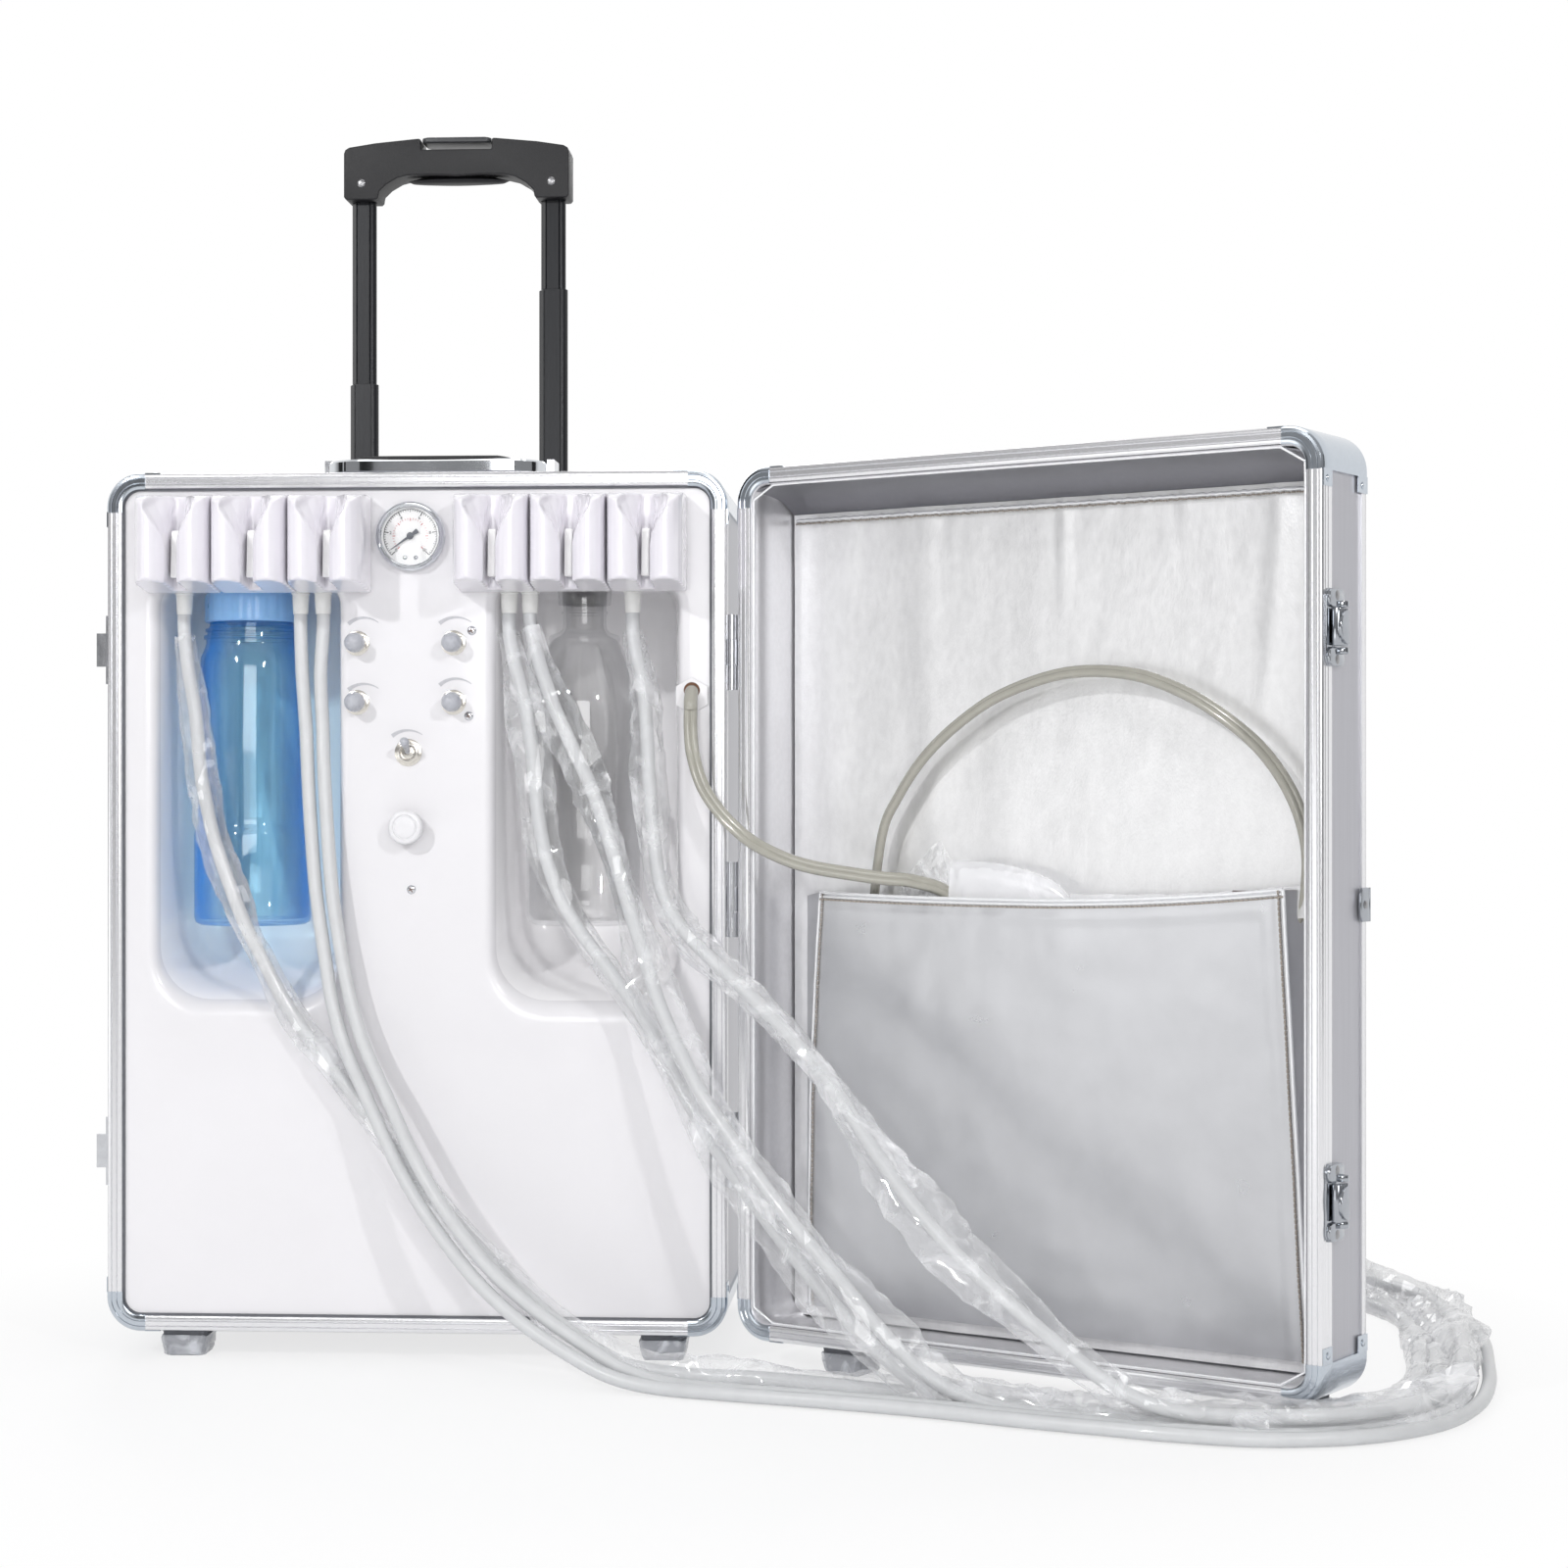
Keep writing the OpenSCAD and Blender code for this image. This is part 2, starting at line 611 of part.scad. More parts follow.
board_w = 140;
board_h = 80;
board_x = -10;
board_t = 2;
board_out = 10;            // the board stands this far off the back panel
module power_board() {
  y = back_in - fit_gap;
  z = case_top - board_h / 2 - 23;
  color("seagreen") placed() translate([board_x, 0, z]) {
    box([-board_w / 2, y - board_out - board_t, -board_h / 2], [board_w / 2, y - board_out, board_h / 2]);
    for (s = [-1, 1], t = [-1, 1])
      rod_y(s * (board_w / 2 - 8), t * (board_h / 2 - 8), 3, y - board_out - 0.5, y);
    box([-board_w * 0.36, y - board_out - 38, -board_h * 0.35], [0, y - board_out - 1, board_h * 0.27]);
    for (x = [20, 40]) rod_y(x, -5, 8, y - board_out - 24, y - board_out - 1);
  }
}

// ---------------------------------------------------------------- telescopic handle
module tube_plan(w, t) { round_rect(w, t, t * 0.42); }

module tube(w, t, wall, z0, z1) {
  translate([0, 0, z0]) linear_extrude(z1 - z0) difference() {
    tube_plan(w, t);
    tube_plan(w - 2 * wall, t - 2 * wall);
  }
}

module at_tube(s) { translate([trolley_x + s * tube_half, trolley_y, 0]) children(); }

module trolley_outer() {
  color("black") placed() {
    for (s = [-1, 1]) at_tube(s) tube(outer_w, outer_t, tube_wall, case_low + 8, case_top + 3);
    for (z = [case_low + 10, case_mid, case_top - 30])
      box([trolley_x - tube_half + outer_w / 2 - 0.5, body_d + back_gap, z],
          [trolley_x + tube_half - outer_w / 2 + 0.5, body_d + back_gap + 3, z + 22]);
  }
}

module mid_tube(s, out) {
  color("dimgray") placed() at_tube(s) tube(mid_w, mid_t, tube_wall, case_top + out - tube_run, case_top + out);
}

module inner_tubes() {
  color("black") placed() for (s = [-1, 1])
    at_tube(s) tube(tube_w, tube_t, tube_wall, grip_low - tube_run, grip_low + 20);
}

grip_half = tube_half + 13;
button_w = 52;
button_h = 6;
arch_top = grip_low + 17;
module grip_face() {
  polygon([[-grip_half, grip_low], [-grip_half, grip_top - 8], [-grip_half + 4, grip_top - 5],
           [-38, grip_top], [38, grip_top], [grip_half - 4, grip_top - 5], [grip_half, grip_top - 8],
           [grip_half, grip_low], [tube_half - 12, grip_low], [tube_half - 15, grip_low + 4],
           [tube_half - 34, arch_top], [-tube_half + 34, arch_top], [-tube_half + 15, grip_low + 4],
           [-tube_half + 12, grip_low]]);
}

module grip() {
  color("#26262a") placed() translate([trolley_x, trolley_y, 0]) difference() {
    intersection() {
      along_y(-grip_d / 2, grip_d / 2) grip_face();
      translate([0, 0, grip_low - 1]) linear_extrude(grip_h + 2) round_rect(2 * grip_half, grip_d, 8);
    }
    translate([0, 0, grip_top - button_h - 3.5]) linear_extrude(20)
      round_rect(button_w + 0.6, grip_d - 8.4, 5.3);
    for (s = [-1, 1]) translate([s * tube_half, 0, grip_low - 1]) linear_extrude(21.2)
      tube_plan(tube_w + 0.2, tube_t + 0.2);
  }
}

module grip_button() {
  color("#3a3a40") placed() translate([trolley_x, trolley_y, grip_top - button_h])
    linear_extrude(button_h) round_rect(button_w, grip_d - 9, 5);
}

// ---------------------------------------------------------------- wheels, feet and carry handle
module wheel(s) {
  x = s * wheel_x;
  color("#333333") placed() difference() {
    union() {
      rod_x(wheel_y, wheel_r, wheel_r, x - wheel_w / 2 + 2, x + wheel_w / 2 - 2);
      rod_x(wheel_y, wheel_r, wheel_r - 2, x - wheel_w / 2, x + wheel_w / 2);
    }
    rod_x(wheel_y, wheel_r, axle_r + run_gap, x - wheel_w, x + wheel_w);
    for (t = [-1, 1]) rod_x(wheel_y, wheel_r, wheel_r - 7, x + t * wheel_w / 2 - 3, x + t * wheel_w / 2 + 3);
  }
}

module wheel_brackets() {
  color("#222222") placed() for (s = [-1, 1]) {
    x = s * wheel_x;
    difference() {
      box([x - housing_w / 2, housing_front, case_low], [x + housing_w / 2, body_d - fit_gap, housing_top]);
      box([x - housing_w / 2 + 2.5, housing_front + 2, case_low - 1],
          [x + housing_w / 2 - 2.5, body_d + 1, housing_top - 2]);
    }
    rod_x(wheel_y, wheel_r, axle_r, x - housing_w / 2 + 1, x + housing_w / 2 - 1);
  }
}

// Tapered block with its wide end up at the case
module foot(x, y) {
  translate([x, y, 0]) difference() {
    translate([-foot_w / 2, -foot_w / 2, 0]) cube([foot_w, foot_w, foot_h]);
    for (s = [-1, 1]) {
      translate([s * foot_w / 2, 0, -1]) rotate([0, s * 8, 0]) translate([s * 5, 0, 0])
        cube([10, 2 * foot_w, 4 * foot_h], center = true);
    }
  }
}

module body_feet() {
  color("dimgray") placed() for (x = [-side_x + 49, side_x - 43]) foot(x, rim_d + foot_w / 2 - 4);
}

carry_x = -2.5;
carry_y = body_d / 2 - 2;
carry_z = case_top + 13;
carry_half = 74;
carry_reach = 38;
carry_pin = 3;
module carry_handle() {
  color("silver") placed() translate([carry_x, carry_y, carry_z]) {
    difference() {
      translate([0, -carry_reach / 2, -5]) linear_extrude(11) difference() {
        union() {
          translate([-carry_half + 4, -carry_reach / 2 + 18]) square([2 * carry_half - 8, carry_reach - 18 + 5]);
          translate([-carry_half + 22, -carry_reach / 2]) square([2 * carry_half - 44, 18]);
          for (s = [-1, 1]) translate([s * (carry_half - 22), -carry_reach / 2 + 18]) circle(18);
        }
        translate([-carry_half + 14, -carry_reach / 2 + 22]) square([2 * carry_half - 28, carry_reach]);
        translate([-carry_half + 24, -carry_reach / 2 + 12]) square([2 * carry_half - 48, carry_reach]);
        for (s = [-1, 1]) translate([s * (carry_half - 24), -carry_reach / 2 + 22]) circle(10);
      }
      rod_x(0, 0, carry_pin + run_gap, -carry_half - 1, carry_half + 1);
    }
  }
}

module carry_brackets() {
  translate([carry_x, carry_y, 0]) for (s = [-1, 1]) {
    x0 = s * (carry_half + 1);
    box([min(x0, x0 + s * 5), -12, case_top - panel_in], [max(x0, x0 + s * 5), 12, carry_z + 7]);
    rod_x(0, carry_z, carry_pin, min(s * (carry_half - 9), x0), max(s * (carry_half - 9), x0));
  }
}

// ---------------------------------------------------------------- hinges and latches
hinge_zs = [case_top - 119, case_mid + 2.5, case_low + 122];
hinge_h = 49;
knuckle_r = 3.2;
leaf_t = 1.2;
leaf_w = 20;
hinge_pin_r = 1.5;
knuckle_gap = 0.3;

// One hinge half about the axis: `own` knuckles are the outer two (body) or the middle one (lid)
module hinge_half(z, s, outer) {
  third = hinge_h / 3;
  zs = outer ? [-hinge_h / 2, third / 2] : [-third / 2];
  others = outer ? [-third / 2] : [-hinge_h / 2, third / 2];
  translate([hinge_x, 0, z]) difference() {
    union() {
      box([-hinge_gap + fit_gap, min(s * 0.6, s * leaf_w), -hinge_h / 2],
          [-hinge_gap + fit_gap + leaf_t, max(s * 0.6, s * leaf_w), hinge_h / 2]);
      for (k = zs) translate([0, 0, k]) cylinder(r = knuckle_r, h = third);
      for (k = zs) box([-hinge_gap + fit_gap, min(0, s * 3), k], [0, max(0, s * 3), k + third]);
    }
    for (k = others) translate([0, 0, k - knuckle_gap])
      cylinder(r = knuckle_r + 0.4, h = third + 2 * knuckle_gap);
    if (!outer) translate([0, 0, -hinge_h]) cylinder(r = hinge_pin_r + run_gap, h = 2 * hinge_h);
  }
}

module body_hinges() {
  for (z = hinge_zs) {
    hinge_half(z, 1, true);
    translate([hinge_x, 0, z - hinge_h / 2 + 1]) cylinder(r = hinge_pin_r, h = hinge_h - 2);
  }
}

module lid_hinges() { color("silver") at_lid() for (z = hinge_zs) hinge_half(z, -1, false); }

latch_zs = [case_top - 116, case_low + 118];
latch_h = 45;
latch_pivot = [-side_x - 3.6, -20];
latch_pin_r = 1.2;

module latch_keepers() {
  for (z = latch_zs) {
    box([-side_x - 1.5, 3, z - latch_h / 2], [-side_x, 15, z + latch_h / 2]);
    box([-side_x - keeper_out, 4, z - 11], [-side_x - 1, 9, z + 11]);
  }
}

// Hinge halves, latch keepers and carry-handle brackets, screwed to the body
module case_fittings() {
  color("silver") placed() {
    body_hinges();
    latch_keepers();
    carry_brackets();
  }
}

module lid_latches() {
  color("silver") at_lid() for (z = latch_zs) {
    difference() {
      union() {
        box([-side_x - 1.4, -25, z - latch_h / 2], [-side_x, -3, z + latch_h / 2]);
        for (s = [-1, 1]) box([-side_x - 6.5, -24, z + s * 13.5 - 2], [-side_x - 1, -15, z + s * 13.5 + 2]);
      }
      for (s = [-1, 1]) translate([-side_x + 1, -14, z + s * 18.5]) rotate([0, -90, 0]) cylinder(r = 1.6, h = 6);
      translate([latch_pivot.x, latch_pivot.y, z - 14]) cylinder(r = latch_pin_r + run_gap, h = 28);
    }
  }
}

module latch_lever(z) {
  color("gainsboro") at_lid() translate([latch_pivot.x, latch_pivot.y, z]) {
    translate([0, 0, -13.5]) cylinder(r = latch_pin_r, h = 27);
    translate([0, 0, -11]) cylinder(r = 2, h = 22);
    box([-2, 0, -11], [1.2, 12, 11]);
    intersection() {
      translate([0, 4, 0]) rotate([0, -90, 0]) cylinder(r = 10, h = 5);
      box([-6, -1.5, -11], [1, 15, 11]);
    }
  }
}

// ---------------------------------------------------------------- lid
module lid_panels() { color("lavender") at_lid() mirror([0, 1, 0]) shell_panels(lid_d); }

module lid_edges() {
  color("silver") at_lid() mirror([0, 1, 0]) difference() {
    edge_frame(lid_d);
    corner_blocks(-1, lid_d + 1);
  }
}

module lid_corners() {
  color("gainsboro") at_lid() mirror([0, 1, 0]) intersection() {
    union() {
      edge_frame(lid_d);
      case_ring(0, skin_t, rim_d - 1, lid_d - rim_d);
    }
    corner_blocks(-1, lid_d + 1);
  }
}

lining_t = 3;
lining_back = lid_d - skin_t - panel_t - 3 * fit_gap;
lining_face = lining_back - lining_t;
module lid_lining() {
  color("lightgray") at_lid()
    along_y(-lining_back, -lining_face) translate([0, case_mid])
      round_rect(case_w - 2 * wall_in - 8, case_h - 2 * wall_in - 8, 12);
}

pocket_x = [-side_x + 21, side_x - 31];
pocket_z = [case_low + 16, case_mid + 9.5];
pocket_mouth = 28;          // depth of the front sheet behind the seam, at the mouth
pocket_foot = 48;           // and at the bottom
sheet_t = 1.5;
module lid_pocket() {
  back = lining_face - 0.3;
  color("darkgray") at_lid() difference() {
    along_x(pocket_x[0], pocket_x[1]) polygon([[-back, pocket_z[0]], [-pocket_foot, pocket_z[0]],
      [-pocket_mouth, pocket_z[1]], [-back, pocket_z[1]]]);
    along_x(pocket_x[0] + sheet_t, pocket_x[1] - sheet_t)
      polygon([[-back - 1, pocket_z[0] + sheet_t], [-pocket_foot - sheet_t, pocket_z[0] + sheet_t],
               [-pocket_mouth - sheet_t, pocket_z[1] + 0.1], [-pocket_mouth - sheet_t, pocket_z[1] + 5],
               [-back - 1, pocket_z[1] + 5]]);
  }
}

module lid_feet() {
  color("dimgray") at_lid() {
    foot(side_x - 75, -rim_d - foot_w / 2 + 4);
    foot(-side_x + 35, -lid_d + foot_w / 2 + 4);
  }
}

// ---------------------------------------------------------------- hoses
// Each handpiece hose hangs from its gland, lies on the floor and joins the bundle, where it keeps a lane of its
// own round the lid's free end. The bundle's outer lane:
bundle = [[342, -166], [388, -187], [435, -206], [480, -223], [531, -233], [587, -221], [634, -185], [665, -131],
          [684, -65], [696, 5], [706, 75], [710, 145], [702, 210], [678, 262], [640, 291], [600, 300], [570, 300]];
lane_pitch = 11;
floor_z = 5.5;
rest_z = 15;               // on top of two hoses
// Lane, height in the bundle, first bundle point used, and the way from the gland to the bundle
hose_1_way = [[-157, 15, 497], [-157, 15, 480], [-154, 13, 455], [-148, 9, 425], [-144, 5, 391], [-139, 0, 368],
              [-132, -4, 342], [-122, -6, 314], [-111, -8, 287], [-100, -9, 266], [-87, -10, 241], [-72, -10, 218],
              [-53, -12, 194], [-28, -15, 163], [2, -20, 126], [33, -27, 93], [68, -36, 60], [104, -45, 32],
              [142, -54, 11], [182, -62, 5.5], [225, -70, 5.5], [268, -86, 5.5], [312, -106, 5.5]];
hose_2_way = [[-79, 15, 497], [-79, 15, 480], [-77, 11, 450], [-73, 4, 415], [-71, 0, 388], [-68, -4, 350],
              [-64, -7, 308], [-58, -9, 268], [-52, -11, 234], [-42, -16, 204], [-27, -23, 174], [-5, -34, 132],
              [20, -48, 97], [50, -62, 64], [80, -74, 40], [112, -86, 22], [140, -96, 10], [170, -106, 5.5],
              [213, -122, 5.5], [252, -134, 5.5], [298, -149, 5.5]];
hose_3_way = [[-64, 15, 497], [-64, 15, 480], [-65, 12, 450], [-62, 5, 415], [-60, -1, 388], [-57, -5, 350],
              [-53, -8, 308], [-47, -10, 270], [-40, -13, 238], [-30, -19, 209], [-14, -28, 178], [8, -40, 136],
              [33, -54, 101], [60, -62, 70], [90, -70, 46], [121, -80, 27], [148, -88, 13], [178, -95, 5.5],
              [217, -111, 5.5], [256, -123, 5.5], [302, -138, 5.5]];
hose_4_way = [[60, 15, 497], [60, 15, 480], [64, 10, 460], [72, 2, 432], [78, -3, 398], [82, -6, 360],
              [88, -8, 330], [97, -9, 305], [110, -11, 283], [128, -15, 260], [148, -22, 234], [165, -30, 208],
              [182, -40, 178], [206, -55, 142], [234, -72, 107], [264, -90, 72], [296, -106, 40], [326, -120, 16]];
hose_5_way = [[74, 15, 497], [74, 15, 484], [78, 11, 468], [84, 4, 450], [94, -4, 425], [107, -8, 398],
              [118, -11, 375], [127, -14, 350], [136, -18, 322], [145, -23, 294], [155, -30, 265], [165, -38, 237],
              [178, -48, 210], [193, -58, 183], [210, -70, 160], [232, -86, 132], [258, -104, 102],
              [286, -119, 72], [312, -130, 43], [338, -140, 21], [366, -152, 9]];
hose_6_way = [[142, 15, 497], [142, 15, 480], [145, 10, 462], [150, 4, 444], [153, -2, 410], [155, -6, 378],
              [158, -9, 345], [163, -12, 312], [174, -17, 289], [192, -24, 270], [212, -36, 253], [234, -52, 234],
              [258, -72, 211], [282, -94, 184], [304, -116, 154], [328, -138, 124], [356, -160, 96],
              [388, -180, 70], [420, -196, 46], [450, -205, 26]];
hose_table = [[4, floor_z, 0, hose_1_way], [0, floor_z, 0, hose_2_way], [1, floor_z, 0, hose_3_way],
              [3, floor_z, 0, hose_4_way], [2, floor_z, 1, hose_5_way], [1.5, rest_z, 3, hose_6_way]];

// The air hose leaves its elbow, crosses to the lid, turns in the pocket, loops up in front of the lining and
// ends in the pocket. Its points past the hinge are [distance from the hinge, depth in the lid, height].
air_way = [[182, -6, 427], [182, -6, 412], [184, -8, 396], [191, -14, 376], [204, -21, 358], [222, -29, 342],
           [243, -33, 331]];
air_lid_way = [[63, -1, 325], [82, 12, 321], [101, 22, 318], [120, 31, 316], [142, 38, 308], [158, 43, 286],
               [164, 46, 258], [158, 47, 237], [143, 47, 222], [123, 47, 217], [103, 47, 222], [88, 46, 237],
               [82, 45, 258], [81, 43, 288], [91, 39, 345], [104, 38, 370], [124, 37, 395], [150, 36, 416],
               [182, 36, 434], [226, 36, 446], [270, 36, 445], [305, 36, 434], [335, 36, 417], [360, 37, 396],
               [378, 38, 370], [387, 39, 342], [386, 41, 314], [378, 43, 286], [364, 45, 258], [343, 46, 233],
               [316, 46, 214], [288, 46, 206], [262, 46, 206]];

function unit(v) = v / norm(v);
function clip(i, n) = max(0, min(n - 1, i));
// Left-hand normal of the bundle's outer lane at point i
function bundle_left(i) =
  let (d = unit(bundle[clip(i + 1, len(bundle))] - bundle[clip(i - 1, len(bundle))])) [-d.y, d.x];
function lane_points(lane, z, first) = [for (i = [first:len(bundle) - 1])
  let (p = bundle[i] + lane * lane_pitch * bundle_left(i)) [p.x, p.y, z]];
// A route's heights follow the fitting that it starts at
function hung(way, top) = [for (p = way) [p.x, p.y, p.z * top / way[0].z]];
function hose_points(h) = concat(hung(h[3], gland_low), lane_points(h[0], h[1], h[2]));
function lid_at(p) = [hinge_x + p.x * cos(swing) + p.y * sin(swing), -p.x * sin(swing) + p.y * cos(swing), p.z];
air_points = concat(hung(air_way, air_low),
                    [for (p = air_lid_way) lid_at([p.x, p.y, p.z * air_low / air_way[0].z])]);

// Smooth curve through the points: `steps` rings for each stretch between two points
function along(p, i, t) =
  let (n = len(p), a = p[clip(i - 1, n)], b = p[i], c = p[clip(i + 1, n)], d = p[clip(i + 2, n)])
  0.5 * (2 * b + (c - a) * t + (2 * a - 5 * b + 4 * c - d) * t * t + (3 * b - a - 3 * c + d) * t * t * t);
function smooth(p, steps) = concat([for (i = [0:len(p) - 2], k = [0:steps - 1]) along(p, i, k / steps)],
                                   [p[len(p) - 1]]);
function headings(p) = [for (i = [0:len(p) - 1]) unit(p[clip(i + 1, len(p))] - p[clip(i - 1, len(p))])];
function square_to(v, t) = unit(v - (v * t) * t);
// A side direction for every ring, carried along the route without twist
function sides(ts, first) = [for (i = 0, v = square_to(first, ts[0]); i < len(ts);
  i = i + 1, v = square_to(v, ts[clip(i, len(ts))])) v];

tube_sides = 8;
module swept(points, r, steps) {
  p = smooth(points, steps);
  t = headings(p);
  v = sides(t, [1, 0.1, 0]);
  m = tube_sides;
  n = len(p);
  ring = [for (i = [0:n - 1], k = [0:m - 1])
    p[i] + r * (cos(360 * k / m) * v[i] + sin(360 * k / m) * cross(t[i], v[i]))];
  wall = [for (i = [0:n - 2], k = [0:m - 1]) let (a = i * m + k, b = i * m + (k + 1) % m)
    each [[a, b, a + m], [b, b + m, a + m]]];
  low = [for (k = [1:m - 2]) [0, k + 1, k]];
  high = [for (k = [1:m - 2]) [(n - 1) * m, (n - 1) * m + k, (n - 1) * m + k + 1]];
  polyhedron(points = concat(ring, [p[0], p[n - 1]]), faces = concat(wall, low, high));
}

module hose(i) {
  color("lightgray") placed() swept(hose_points(hose_table[i]), hose_d / 2, 2);
}

module air_hose() { color("gray") placed() swept(air_points, hose_d / 2, 2); }

connector_len = 34;
module connector() {
  rod_x(0, 0, hose_d / 2, -12, 0);
  rod_x(0, 0, hose_d / 2 - 0.5, -connector_len, -11);
}

module hose_connectors() {
  color("silver") placed() {
    for (h = hose_table) {
      p = hose_points(h);
      translate(p[len(p) - 1] - [end_gap, 0, 0]) connector();
    }
  }
}

// End fitting of the air hose, stowed in the lid's pocket
module air_coupling() {
  color("silver") placed() translate(air_points[len(air_points) - 1]) rotate([0, 0, -swing]) {
    rod_x(0, 0, hose_d / 2 + 1.5, -22, -end_gap);
    rod_x(0, 0, hose_d / 2 - 0.5, -32, -21);
  }
}

body_panels();
body_edges();
body_corners();
front_panel();
panel_screws();
handpiece_holders();
holder_lever(0);  // holder_lever_1
holder_lever(1);  // holder_lever_2
holder_lever(2);  // holder_lever_3
holder_lever(3);  // holder_lever_4
holder_lever(4);  // holder_lever_5
holder_lever(5);  // holder_lever_6
gauge_case();
gauge_needle();
knob(knob_left_x, knob_high_z);  // knob_water
knob(knob_left_x, knob_low_z);  // knob_mist
knob(knob_right_x, knob_high_z);  // knob_air_high
knob(knob_right_x, knob_low_z);  // knob_air_low
control_valves();
toggle_lever();
scaler_knob();
water_bottle();
waste_bottle();
bottle_caps();
hose_glands();
compressor();
air_tank();
manifold();
power_board();
trolley_outer();
mid_tube(-1, mid_left_out);  // mid_tube_left
mid_tube(1, mid_right_out);  // mid_tube_right
inner_tubes();
grip();
grip_button();
wheel(-1);  // wheel_left
wheel(1);  // wheel_right
wheel_brackets();
body_feet();
carry_handle();
case_fittings();
lid_panels();
lid_edges();
lid_corners();
lid_lining();
lid_pocket();
lid_hinges();
lid_latches();
latch_lever(latch_zs[0]);  // latch_lever_high
latch_lever(latch_zs[1]);  // latch_lever_low
lid_feet();
hose(0);  // hose_1
hose(1);  // hose_2
hose(2);  // hose_3
hose(3);  // hose_4
hose(4);  // hose_5
hose(5);  // hose_6
air_hose();
hose_connectors();
air_coupling();
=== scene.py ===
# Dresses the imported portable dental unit: smooth shells, trims, hoses, soft pieces and materials.
import math
import random

import bmesh
import bpy
from mathutils import Matrix, Vector, noise


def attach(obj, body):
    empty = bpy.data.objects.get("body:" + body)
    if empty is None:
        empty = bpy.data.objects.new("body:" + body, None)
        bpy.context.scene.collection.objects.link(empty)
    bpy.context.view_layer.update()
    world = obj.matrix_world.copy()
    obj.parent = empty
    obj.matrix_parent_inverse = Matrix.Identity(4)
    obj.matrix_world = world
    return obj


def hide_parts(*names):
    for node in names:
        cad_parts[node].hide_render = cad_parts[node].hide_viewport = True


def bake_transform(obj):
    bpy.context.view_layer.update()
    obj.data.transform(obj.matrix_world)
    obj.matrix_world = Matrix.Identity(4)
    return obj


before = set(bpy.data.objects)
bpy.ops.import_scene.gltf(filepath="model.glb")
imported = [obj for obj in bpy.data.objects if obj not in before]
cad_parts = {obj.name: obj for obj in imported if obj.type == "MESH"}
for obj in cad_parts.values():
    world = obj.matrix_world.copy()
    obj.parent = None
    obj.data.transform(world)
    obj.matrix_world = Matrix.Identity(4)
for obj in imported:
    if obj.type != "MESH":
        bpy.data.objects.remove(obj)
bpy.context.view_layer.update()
random.seed(7)

# ---------------------------------------------------------------- places
# Pieces are drawn in millimetres: the body's about the middle of its seam plane, the lid's closed in front of it.
HX = 208.5
OPEN = math.radians(149)
BODY = Matrix.Diagonal((0.001, 0.001, 0.001, 1)) @ Matrix.Translation((-191.71, -24.295, 0))
LID = BODY @ Matrix.Translation((HX, 0, 0)) @ Matrix.Rotation(OPEN, 4, "Z") @ Matrix.Translation((-HX, 0, 0))
CASE_W, CASE_H, CASE_R, CASE_MID = 410, 565, 22, 300.5
BODY_DEPTH, LID_DEPTH = 240, 65
TUB_X = 112


def lid_at(a, d, z):
    """A point of the open lid in the body's millimetres: distance from the hinge, depth in the lid, height."""
    s = math.pi - OPEN
    return (HX + a * math.cos(s) + d * math.sin(s), -a * math.sin(s) + d * math.cos(s), z)


# ---------------------------------------------------------------- materials
def feed(tree, n, inputs):
    """Gives a shader node's sockets, by name or in order, a constant or the node or socket that feeds them."""
    for key, value in inputs.items() if isinstance(inputs, dict) else enumerate(inputs):
        if isinstance(value, bpy.types.Node):
            value = value.outputs[0]
        if isinstance(value, bpy.types.NodeSocket):
            tree.links.new(value, n.inputs[key])
        else:
            n.inputs[key].default_value = value


def node(tree, kind, inputs=(), **settings):
    n = tree.nodes.new("ShaderNode" + kind)
    for key, value in settings.items():
        setattr(n, key, value)
    feed(tree, n, inputs)
    return n


def mat(name, color, rough=0.4, metal=0.0, vary=0.05, grain=120, bump=0.08, fine=900, stretch=(1, 1, 1),
        coat=0.0, rvar=0.06, depth=0.0002, sss=0.0, pattern=None):
    """Colour and roughness vary with a coarse noise, the relief follows a fine one."""
    m = bpy.data.materials.new(name)
    m.use_nodes = True
    tree = m.node_tree
    at = node(tree, "Mapping", {"Vector": node(tree, "TexCoord").outputs["Object"], "Scale": stretch})
    coarse = node(tree, "TexNoise", {"Vector": at, "Scale": grain, "Detail": 4})
    tone = node(tree, "ValToRGB", {"Fac": coarse})
    for stop, place, share in zip(tone.color_ramp.elements, (0.3, 0.7), (1 - vary, 1 + vary)):
        stop.position = place
        stop.color = [min(1, c * share) for c in color] + [1]
    dull = node(tree, "MapRange", {"Value": coarse, "To Min": max(0.02, rough - rvar),
                                   "To Max": min(1, rough + rvar)})
    if pattern == "leather":
        grit = node(tree, "TexVoronoi", {"Vector": at, "Scale": fine}, feature="SMOOTH_F1")
    else:
        grit = node(tree, "TexNoise", {"Vector": at, "Scale": fine, "Detail": 3})
    relief = node(tree, "Bump", {"Height": grit, "Strength": bump, "Distance": depth})
    feed(tree, tree.nodes["Principled BSDF"], {
        "Base Color": tone, "Roughness": dull, "Normal": relief, "Metallic": metal, "Coat Weight": coat,
        "Coat Roughness": 0.05, "IOR": 1.46, "Subsurface Weight": sss, "Subsurface Scale": 0.002})
    return m


